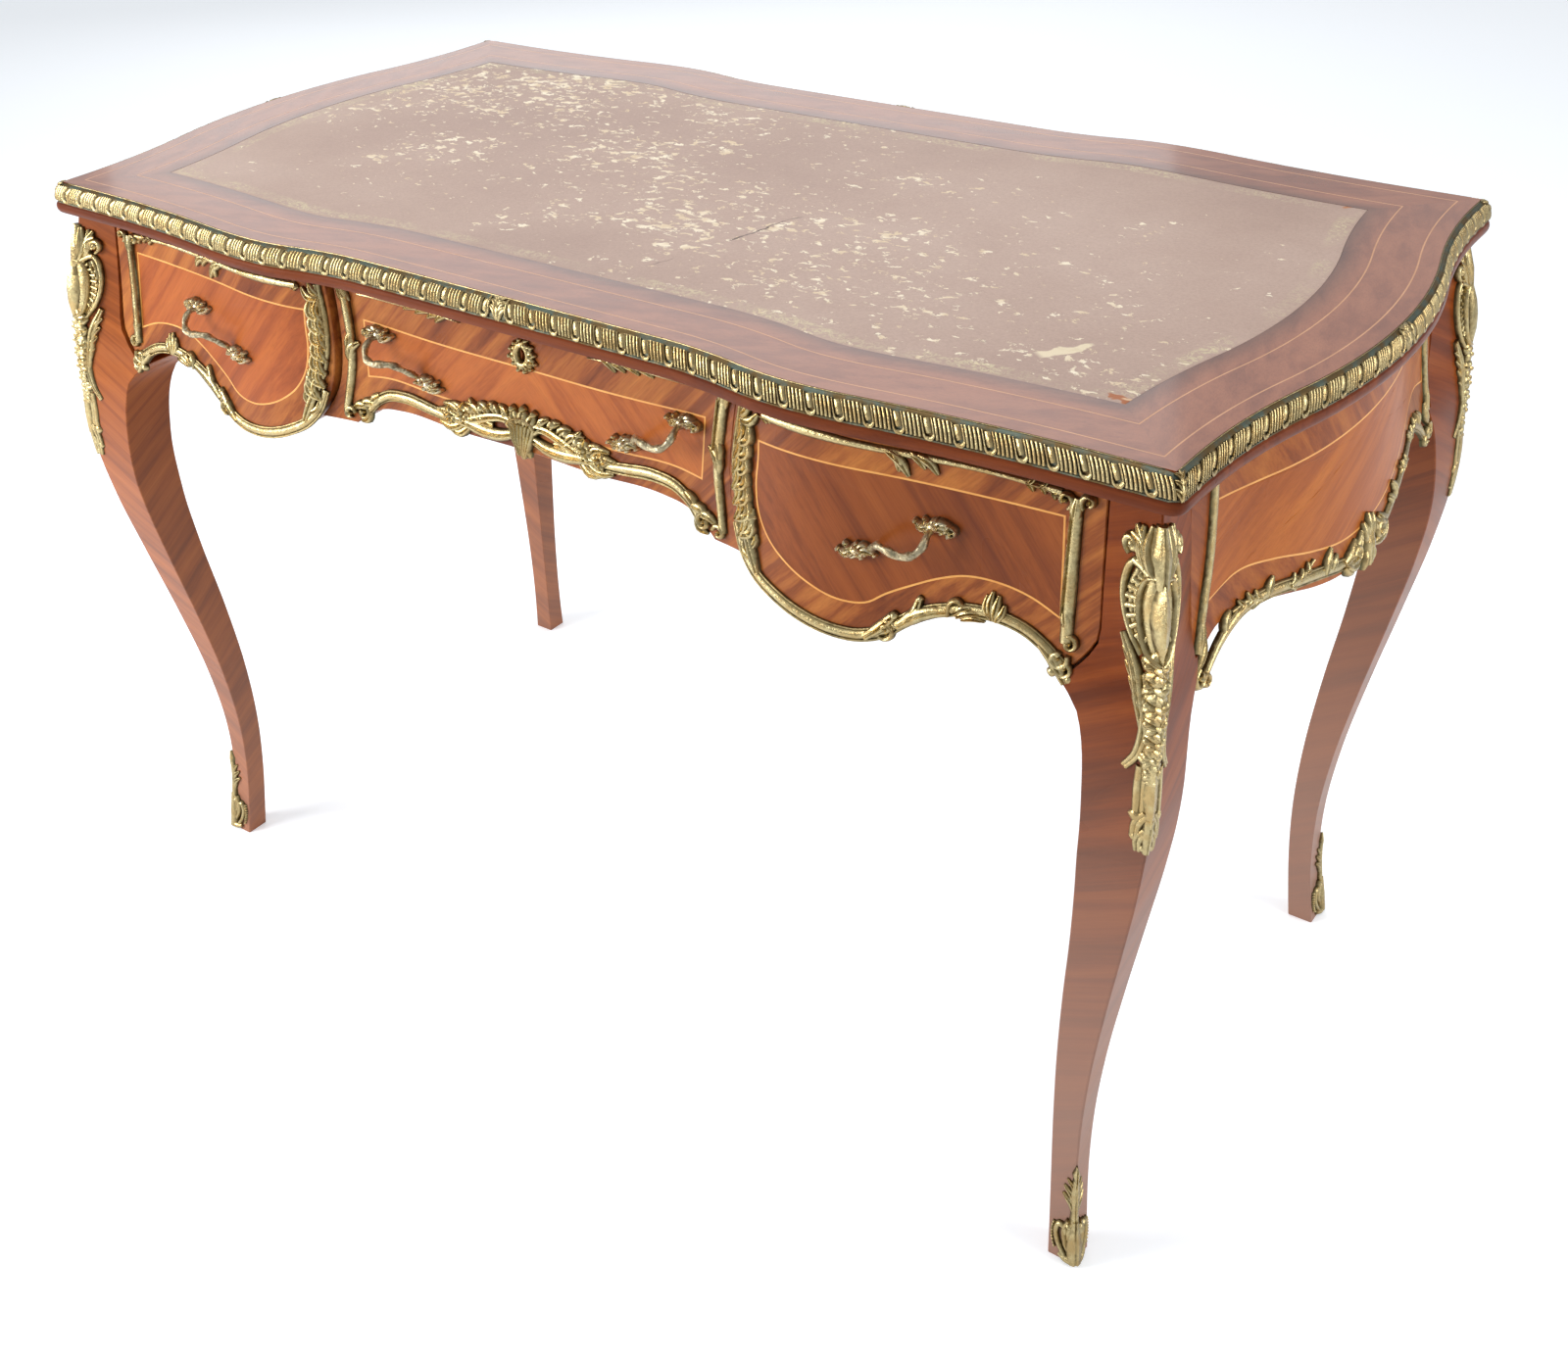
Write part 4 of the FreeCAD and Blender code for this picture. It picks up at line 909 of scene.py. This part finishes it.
# The right-hand legs take a darker copy of the leg veneer: painted shade for the side away from the
# key light.
veneer("leg_veneer", (.28, .068, .011), (.205, .041, .006), (.11, .021, .004), (0, 1.0, 0), 1.35,
       .02, .08, folded="leg", shift=.2, foot_sheen=1.3)
veneer("leg_left", (.43, .118, .022), (.31, .076, .014), (.17, .038, .009), (0, 1.0, 0), 1.5,
       .04, .14, folded="leg", shift=.6, foot_sheen=.7)
veneer("lip_veneer", (.24, .056, .013), (.155, .033, .009), (.085, .018, .006), (0, 1.5708, 0), .9,
       .05, .10)
veneer("border_long", (.39, .147, .076), (.29, .100, .052), (.185, .059, .033), (0, 1.25, .3), .9,
       .8, .4, shaded=True)
veneer("border_short", (.40, .154, .080), (.30, .106, .056), (.195, .065, .037), (1.25, 0, .3), .9,
       .8, .4, shift=.4, shaded=True)
plain("boxwood", (.84, .40, .09), (.70, .29, .055), 40, .3)
plain("top_inlay", (.62, .33, .18), (.50, .25, .13), 40, .26)
plain("oak", (.45, .29, .16), (.30, .175, .088), 9, .55, (1, 1, 9))
plain("iron", (.36, .34, .32), (.20, .18, .165), 60, .38, metallic=1.0)
leather("leather")
gilt("gilt", (.60, .49, .25), (.10, .062, .024), (.14, .13, .065))
gilt("rim_gilt", (.54, .43, .215), (.16, .105, .045), (.125, .15, .12))
gilt("handle_gilt", (.80, .71, .48), (.24, .18, .10), (.23, .22, .15))


def finished(piece, names, body, slot, *replaced):
    """Gives a piece its finishes and body and hides the nodes it stands for; slot is not used."""
    for name in names:
        piece.data.materials.append(finishes[name])
    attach(piece, body)
    if replaced:
        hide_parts(*replaced)


def shared_out(master, names, slot, *rows):
    """Copies of a master, from rows of name, flip, body and the node that it stands for."""
    for name, flip, body, *replaced in rows:
        finished(copied(master, name, flip), names, body, slot, *replaced)
    bpy.data.objects.remove(master)


# Veneered fronts and ends
def along_line(points, count):
    """Evenly spaced points of a run of straight pieces."""
    points = np.array(points, float)
    knots = np.concatenate([[0], np.cumsum(np.linalg.norm(np.diff(points, axis=0), axis=1))])
    at = np.linspace(0, knots[-1], count)
    return np.stack([np.interp(at, knots, points[:, i]) for i in (0, 1)], 1)


def ring_of(*sides):
    """A closed ring from its sides; a bare count is a straight side between its neighbours."""
    found = []
    for i, side in enumerate(sides):
        if isinstance(side, int):
            side = ((sides[i - 1][0][-1], sides[(i + 1) % len(sides)][0][0]), side)
        line, count, *way = side
        found.append((way[0] if way else smooth)(line, count + 1)[:-1])
    return np.concatenate(found)


def widened(ring, by):
    """The ring moved outwards by a distance, mitred at its corners."""
    ahead = np.roll(ring, -1, 0) - ring
    back = ring - np.roll(ring, 1, 0)
    ahead /= np.linalg.norm(ahead, axis=1)[:, None]
    back /= np.linalg.norm(back, axis=1)[:, None]
    out = np.stack([ahead[:, 1] + back[:, 1], -ahead[:, 0] - back[:, 0]], 1)
    size = np.linalg.norm(out, axis=1)[:, None]
    area = np.sum(ring[:, 0] * np.roll(ring[:, 1], -1) - np.roll(ring[:, 0], -1) * ring[:, 1])
    return ring + np.sign(area) * out / size * by * np.minimum(2 / size, 1.6)


def panel(name, edge, line, place, plate, middle):
    """A front or end: plain back, eased edge, crossbanding, inlaid line and field."""
    eased, inner = widened(edge, -EASE), widened(line, -INLAY)
    face = [eased, eased + (line - eased) * .45, widened(line, INLAY), inner]
    face += [inner + (middle - inner) * share for share in (.12, .25, .4, .55, .7, .85, .97)]
    rings = [plate(edge), place(edge[:, 0], edge[:, 1], -EASE)]
    rings += [place(ring[:, 0], ring[:, 1], 0) for ring in face]
    return softened(drawn_up(name, [ring * MM for ring in rings], (0, 0, 0, 0, 1, 2)), 30)


def flat_front(ring):
    return np.stack([ring[:, 0], np.full(len(ring), FRONT_PLATE), ring[:, 1]], 1)


def flat_side(ring):
    return np.stack([np.full(len(ring), SIDE_PLATE), ring[:, 0], ring[:, 1]], 1)


def both_ways(half):
    """A line from its middle outwards, drawn whole."""
    return [(-x, z) for x, z in half[:0:-1]] + half


wing = panel("wing_panel",
             ring_of((WING_EDGE[:13], 84), (WING_EDGE[12:], 30, along_line), 48),
             ring_of((WING_LINE[:16], 84), (WING_LINE[15:18], 30),
                     (WING_LINE[17:] + WING_LINE[:1], 48)), face_front, flat_front, (425, 688))

apron = both_ways([(0, 640.5), (75, 639), (145.5, 640.5), (169, 637), (186.2, 629), (200, 618.5)])
flank = [(238.6, 618.5), (236.5, 621), (219.5, 648), (213.5, 682), (215, 715), (219.5, 750.5)]
other_flank = [(-x, z) for x, z in flank[::-1]]
low_line = both_ways([(0, 665), (50, 665), (100, 665.5), (160, 667.5), (184.3, 664.5)])
top_line = both_ways([(0, 712), (-93, 712), (-186, 715)])
centre = panel("centre_front",
               ring_of((apron, 80), 6, (flank, 24), 60, (other_flank, 24), 6),
               ring_of((low_line, 80), 30, (top_line, 60), 30), face_centre, flat_front, (0, 698))

skirt = both_ways([(0, 590.5), (46, 592.9), (84.7, 600.1), (116.2, 608.4), (154.9, 616.9),
                   (181.5, 621.5), (205.7, 620.6), (225, 610.5), (241.5, 596.1)])
low_line = both_ways([(0, 618), (45, 621), (89, 631), (140, 645), (182, 651.5), (220, 644)])
top_line = [(207, 716.6), (152, 712), (90, 709), (29, 708), (-29, 708), (-90, 709), (-152, 712),
            (-207, 716.6)]
end = panel("end_master",
            ring_of((skirt, 90), 24, ([(241.5, 751.5), (-241.5, 751.5)], 60), 24),
            ring_of((low_line, 90), 24, (top_line, 60), 24), face_side, flat_side, (0, 696))

for master, name, flip, field, body, *replaced in (
        (wing, "wing_front_right", RIGHT, "field_right", "drawer_right", "drawer_right_front"),
        (wing, "wing_front_left", LEFT, "field_left", "drawer_left", "drawer_left_front"),
        (wing, "back_wing_right", BACK_RIGHT, "field_right", "desk", "back_panels"),
        (wing, "back_wing_left", BACK_LEFT, "field_left", "desk"),
        (centre, "back_centre", BACK_RIGHT, "field_centre", "desk")):
    finished(copied(master, name, flip), ["band_front", "boxwood", field], body, "veneer",
             *replaced)
bpy.data.objects.remove(wing)
keyhole = [(2.4 * math.cos(t), 727 + 2.4 * math.sin(t)) for t in np.linspace(-1.0, 4.14, 12)]
cut_out(centre, [*keyhole, (-1.8, 716.5), (1.8, 716.5)], -330.0, -200.0)
finished(centre, ["band_front", "boxwood", "field_centre"], "drawer_centre", "veneer",
         "drawer_centre_front")
shared_out(end, ["band_side", "boxwood", "field_side"], "veneer",
           ("end_panel_left", LEFT, "desk", "side_panel_left"),
           ("end_panel_right", RIGHT, "desk", "side_panel_right"))


# Top, leather and rim
def level_ring(grow, height, soft):
    plan = outline(grow, soft)
    return np.column_stack([plan, np.full(len(plan), height)]) * MM


def depths(piece, rows):
    """Marks every point with how far it lies in from the edge, in tenths of a metre."""
    places = points_of(piece.data)
    values = np.zeros(len(places))
    for row in rows:
        away = np.abs(places[:, None] - level_ring(*row)[None]).sum(-1).min(1)
        values[away < 2e-5] = max(-row[0], 0) / 100
    marked(piece, "inward", values)


rows = [(-40, UNDER, 2), (6, UNDER, 12), (9.2, 752.7, 12), (10.3, 755, 12), (10.5, 758, 12),
        (10.0, 760.6, 12), (8.8, 761.9, 12), (.4, 762, 3), (0, TOP, 1),
        *((grow, TOP, .6) for grow in (-14.4, -15.6, -49.4, -50.6, -72.7)), (-72.7, 779, .6)]
top = drawn_up("top_board", [level_ring(*row) for row in rows],
               (0, 0, 0, 0, 0, 0, 0, 0, 1, 3, 1, 3, 1, 1))
for face in top.data.polygons:
    x, y = abs(face.center.x), abs(face.center.y)
    if face.material_index == 1 and x - MITRE_X > y - MITRE_Y:
        face.material_index = 2
depths(top, rows)
finished(softened(top, 30), ["lip_veneer", "border_long", "border_short", "top_inlay"], "desk",
         "top_veneer", "top_panel")

rows = [(-73, 779, .6), (-73, 779.85, .6), (-73.6, TOP, .6), (-78, TOP, .6), (-86, TOP, 2),
        (-95, TOP, 4), (-130, TOP, 10), (-180, TOP, 20), (-230, TOP, 20), (-290, TOP, 8)]
skin = drawn_up("leather_skin", [level_ring(*row) for row in rows])
depths(skin, rows)
finished(softened(skin, 30), ["leather"], "desk", "leather", "leather_inset")

PLANS = [outline(grow, 9, LONG_POINTS, SHORT_POINTS) for grow in (0, RIM_GROWTH)]
PLAN_MID = (PLANS[0] + PLANS[1]) / 2
steps = np.linalg.norm(np.diff(np.vstack([PLAN_MID, PLAN_MID[:1]]), axis=0), axis=1)
PLAN_AT = np.concatenate([[0], np.cumsum(steps)])
PLAN_AROUND = PLAN_AT[-1]
FRONT_MIDDLE = PLAN_AT[LONG_POINTS // 2] - steps[LONG_POINTS // 2 - 1] / 2


def rim_plan(u, grow):
    """The plan at u round the rim from the middle of the front, moved outwards by grow."""
    at = np.mod(FRONT_MIDDLE + u, PLAN_AROUND)
    inner, outer = (np.stack([np.interp(at, PLAN_AT, np.append(plan[:, i], plan[0, i]))
                              for i in (0, 1)]) for plan in PLANS)
    return inner + (outer - inner) * grow / RIM_GROWTH


def face_rim(u, w, h):
    """A point of the rim: u along it from the middle of the front, w up its round."""
    t = w / RIM_ROUND * math.pi / 2
    size = np.hypot(RIM_HIGH * np.cos(t), RIM_DEEP * np.sin(t))
    grow = RIM_START + RIM_DEEP * np.cos(t) + h * np.cos(t) * RIM_HIGH / size
    height = RIM_FOOT + RIM_HIGH * np.sin(t) + h * np.sin(t) * RIM_DEEP / size
    x, y = rim_plan(u, np.minimum(grow, 9.9))
    return np.stack([x, y, np.minimum(height, RIM_TOP) + 0 * x], -1)


def rim_ring(u):
    """Section of the rim's plain body at u."""
    body = face_rim(np.full(8, u), np.linspace(0, RIM_ROUND, 8), np.zeros(8))
    lower = [(*rim_plan(u, grow), height) for grow, height in
             ((9.0, 763.4), (9.0, 762.2), (.1, 762.2), (.1, 779.6), (.5, TOP))]
    return np.array(lower + list(body[::-1])) * MM


def rim_unit(at, lean):
    """One repeat of the rim: a framed lobe with its foot, then four slanting reeds."""
    def slanting(off, foot, tip, *given):
        return rod([(at + lean * (off + SLANT), foot), (at + lean * off, 8),
                    (at + lean * (off - SLANT), tip)], *given)
    return [slanting(0, 3.8, 12.6, (5.6, 6.2, 5.6), (1.2, 1.7, 1.1), 6),
            *(slanting(off, 3.2, 13.4, (1.9, 1.9, 1.7), 1.9, 4) for off in (-3.9, 3.9)),
            rod([(at + lean * off, up) for off, up in ((-2.9, 3.6), (-1.6, 1.3), (3.8, 1.3),
                                                       (5.1, 3.6))], (2.2, 3.2, 3.2, 2.2), 2.2, 6),
            *(slanting(off, 1.2, 13.6, (3.1, 3.2, 3.0), 1.9, 5) for off in (6.4, 9.6, 12.8, 16.0))]


# The front ends in the middle of its eased corner, three points past its last
half_round = PLAN_AROUND / 2
half_front = PLAN_AT[LONG_POINTS + 3] - FRONT_MIDDLE - steps[0] * .5
half_end = half_round / 2 - half_front
for side, middle, half in (("front", 0, half_front), ("right", half_round / 2, half_end),
                           ("back", half_round, half_front), ("left", half_round * 1.5, half_end)):
    body = drawn_up("rim_body", [rim_ring(middle + u) for u in np.linspace(-half, half, 120)])
    softened(body, 40)
    marked(body, "rise", np.where(points_of(body.data)[:, 2] > .7764, .10, .30))
    strokes = []
    repeats = int((half - FIRST_UNIT) / UNIT)
    for i in range(repeats):
        off = FIRST_UNIT + i * (half - FIRST_UNIT) / repeats
        strokes += rim_unit(middle - off, -1) + rim_unit(middle + off, 1)
    strokes += acanthus([(middle, 1), (middle, 19)], 17, 2.4, 3)
    strokes += [rod([(middle + off, 3), (middle + off, 17)], (2.6, 2.2), 2.2, 4)
                for off in (-9, 9)]
    strokes.append(rod([(middle + u, RIM_ROUND) for u in np.linspace(-half, half, 9)],
                       1.6, .8, 90))
    strokes += acanthus([(middle + half, .5), (middle + half, 19)], 12, 2.4, 3)
    rim = joined("gadroon_rim_" + side, body, seat("rim_relief", strokes, face_rim))
    finished(rim, ["rim_gilt"], "desk", "gilt_bronze", "rim_" + side)


# Legs
def leg_ring(height):
    """Section of the right-hand front leg, each corner cut off a little."""
    swell, width = (float(np.interp(height, LEG_LINE[:, 0], LEG_LINE[:, i])) for i in (1, 2))
    fall_x, fall_y = (float(fall) for fall in fall_back(height))
    a, b = LEG_X + swell, LEG_Y + swell
    if height > BLOCK_FOOT:
        width_x, width_y = a - BLOCK_X, b - BLOCK_Y
    else:
        width_x = width + np.interp(height, (590, 606), (0, 12))
        width_y = width * np.interp(height, (430, 560), (1, 1.07))
    corners = np.array([(a, -b), (a - width_x, -b + fall_x * width_x),
                        (a - width_x, -b + width_y), (a - fall_y * width_y, -b + width_y)])
    points = []
    for i, here in enumerate(corners):
        for near in (corners[i - 1], corners[(i + 1) % 4]):
            points.append(here + (near - here) / np.linalg.norm(near - here)
                          * (.9 if i else 1.3))
    return np.column_stack([points, np.full(8, height)]) * MM


leg = drawn_up("leg", [leg_ring(h) for h in (*np.linspace(0, 606, 60), 611.9, 612.1,
                                             *np.linspace(620, 751.8, 14))])
cut_out(leg, [(470, 603), (508.6, 608.4), (517, 619), (522.4, 627), (528, 638), (528.6, 650),
              (526, 677), (524, 705), (522, 735), (521, 760), (470, 760)], -360.0, -266.0)
softened(leg, 30)
knee = seat("knee", knee_mount(), knee_face)
shoe = seat("shoe", sabot_mount(), face_leg)
for where, flip in (("front_right", RIGHT), ("front_left", LEFT), ("back_right", BACK_RIGHT),
                    ("back_left", BACK_LEFT)):
    # Right-hand legs take the darker copy of the leg veneer, which carries painted shade.
    finished(copied(leg, "cabriole_" + where, flip),
             ["leg_left" if flip[0] < 0 else "leg_veneer"], "desk", "veneer", "leg_" + where)
    for master, name, replaced in ((knee, "knee_mount_", "knee_mounts"),
                                   (shoe, "sabot_", "sabots")):
        finished(copied(master, name + where, flip), ["gilt"], "desk", "gilt_bronze",
                 *([replaced] if flip == RIGHT else []))
for master in (leg, knee, shoe):
    bpy.data.objects.remove(master)

# Mounts of the fronts and ends
shared_out(seat("wing_master", wing_mount(), face_front), ["gilt"], "gilt_bronze",
           ("wing_mounts_right", RIGHT, "drawer_right", "drawer_right_mounts"),
           ("wing_mounts_left", LEFT, "drawer_left", "drawer_left_mounts"))
shared_out(seat("back_wing_master", wing_mount(False), face_front), ["gilt"], "gilt_bronze",
           ("back_mounts_right", BACK_RIGHT, "desk", "back_mounts"),
           ("back_mounts_left", BACK_LEFT, "desk"))
shared_out(seat("centre_master", centre_mount(), face_centre), ["gilt"], "gilt_bronze",
           ("back_mounts_centre", BACK_RIGHT, "desk"),
           ("centre_mounts", RIGHT, "drawer_centre", "drawer_centre_mounts"))
finished(seat("keyhole_ring", escutcheon_mount(), face_centre), ["gilt"], "drawer_centre",
         "gilt_bronze", "drawer_centre_escutcheon")
shared_out(seat("end_mount_master", end_mount(), low_end), ["gilt"], "gilt_bronze",
           ("end_mounts_left", LEFT, "desk"),
           ("end_mounts_right", RIGHT, "desk", "side_mounts"))

# Line of a pull from its first seat: along, up and how far it stands off
PULL = np.array([(0, -1, 5), (1, -2, 13), (1, -8, 19.5), (-4, -14, 23.5), (-14, -16, 25),
                 (-23, -14, 25), (-31, -14, 22), (-37, -18, 16), (-42, -23, 10), (-46, -28, 4)],
                float)


def handle(x, z, place):
    """A cast pull: a wavy leafed bar between two knobbly rosettes."""
    seats = place(x + PULL[:, 0], z + PULL[:, 1], np.zeros(len(PULL)))
    line = smooth(seats - PULL[:, 2:] * np.array([0, 1, 0]), 60)
    tangent = np.gradient(line, axis=0)
    tangent /= np.linalg.norm(tangent, axis=1)[:, None]
    first = np.cross(tangent, (0, 1, 0))
    first /= np.linalg.norm(first, axis=1)[:, None]
    second = np.cross(first, tangent)
    rings = []
    for i, (middle, n, b) in enumerate(zip(line, first, second)):
        share = i / (len(line) - 1)
        radius = 2.4 + .7 * math.sin(share * math.pi) ** .7 + .4 * math.cos(34 * share)
        ring = []
        for t in (k * math.pi / 6 for k in range(12)):
            knobs = 1 + .13 * math.sin(3 * t + 9 * share) * math.cos(26 * share)
            ring.append(middle + radius * knobs * (math.cos(t) * n + math.sin(t) * b))
        rings.append(np.array(ring) * MM)
    pull = drawn_up("pull_bar", rings)
    marked(pull, "rise", np.random.default_rng(3).uniform(.3, .9, len(pull.data.vertices)))
    strokes = []
    for px, pz, lobes in ((x, z, ((-15, 1), (-8, 4.5), (2, 5), (11, 3), (16, -1), (12, -4),
                                  (-9, -4))),
                          (x - 58, z - 32, ((-15, -2), (-10, 3.5), (-1, 5), (9, 4), (14, -1),
                                            (4, -5), (-8, -5)))):
        strokes += [bead(px, pz, 5, 9, 1.5), bead(px + 3, pz + 1, 3, 12)]
        for dx, dz in lobes:
            tip = (px + dx, pz + dz)
            strokes += [blade((px + dx * .1, pz + dz * .1), tip, 7.6, random.uniform(6, 9), .2),
                        bead(*tip, random.uniform(1.9, 2.7), random.uniform(6, 9)),
                        bead(px + dx * .6, pz + dz * .6, 2, random.uniform(8, 11), 1.3)]
    strokes += scroll(x + 14, z - 1, 4.6, 150, -380, 2.8, 7)
    return softened(joined("pull_master", pull, seat("pull_knobs", strokes, place)), 50)


shared_out(handle(397.0, 689.0, face_front), ["handle_gilt"], "gilt_bronze",
           ("pull_right", RIGHT, "drawer_right", "drawer_right_handle"),
           ("pull_left", LEFT, "drawer_left", "drawer_left_handle"))
shared_out(handle(166.0, 707.0, face_centre), ["handle_gilt"], "gilt_bronze",
           ("pull_centre_left", LEFT, "drawer_centre"),
           ("pull_centre", RIGHT, "drawer_centre", "drawer_centre_handles"))
for piece in bars.values():
    bpy.data.objects.remove(piece)

# What stays from the model
for name, piece in nodes.items():
    piece.data.materials.clear()
    metal = "bolt" in name or "lock" in name or "screw" in name
    piece.data.materials.append(finishes["iron" if metal else "oak"])

# Floor, light and camera
bpy.ops.mesh.primitive_plane_add(size=30, location=(0, 0, 0))
floor = active()
floor.name = "floor"
surface = shader("pale_floor")
lit = node(surface.id_data, "LightPath").outputs["Is Camera Ray"]
feed(surface, Base_Color=(.90, .92, .95, 1), Roughness=.6, Specular_IOR_Level=.2,
     Emission_Color=(.95, .975, 1, 1), Emission_Strength=times(lit, .32))
floor.data.materials.append(finishes["pale_floor"])

world = bpy.data.worlds.new("studio")
bpy.context.scene.world = world
world.use_nodes = True
feed(world.node_tree.nodes["Background"], Color=(.93, .965, 1, 1), Strength=.52)


def softbox(name, place, aim, size, power):
    bpy.ops.object.light_add(type="AREA", location=place)
    lamp = active()
    lamp.name = name
    lamp.data.shape, lamp.data.size, lamp.data.energy = "SQUARE", size, power
    direction = np.array(aim, float) - np.array(place, float)
    lamp.rotation_euler = (math.acos(-direction[2] / np.linalg.norm(direction)), 0,
                           math.atan2(-direction[0], direction[1]))


softbox("key_softbox", (-1.7, -2.0, 1.25), (-.3, -.3, .55), 1.3, 62)
softbox("side_softbox", (2.9, .35, 1.5), (.5, 0, .5), 1.6, 40)
softbox("top_softbox", (-.3, .2, 2.9), (-.2, 0, .78), 2.0, 28)
softbox("sheen_softbox", (-2.4, 2.8, 2.2), (0, 0, .78), 3.2, 22)

bpy.ops.object.camera_add(location=(.96232, -1.27591, 1.30409),
                          rotation=Euler((1.01104, .04151, .64804)))
camera = active()
camera.name = "studio_camera"
camera.data.sensor_width, camera.data.lens = 36, 41.5957
camera.data.shift_x, camera.data.shift_y = .05361, -.02636
bpy.context.scene.camera = camera
bpy.context.scene.view_settings.view_transform = "Standard"
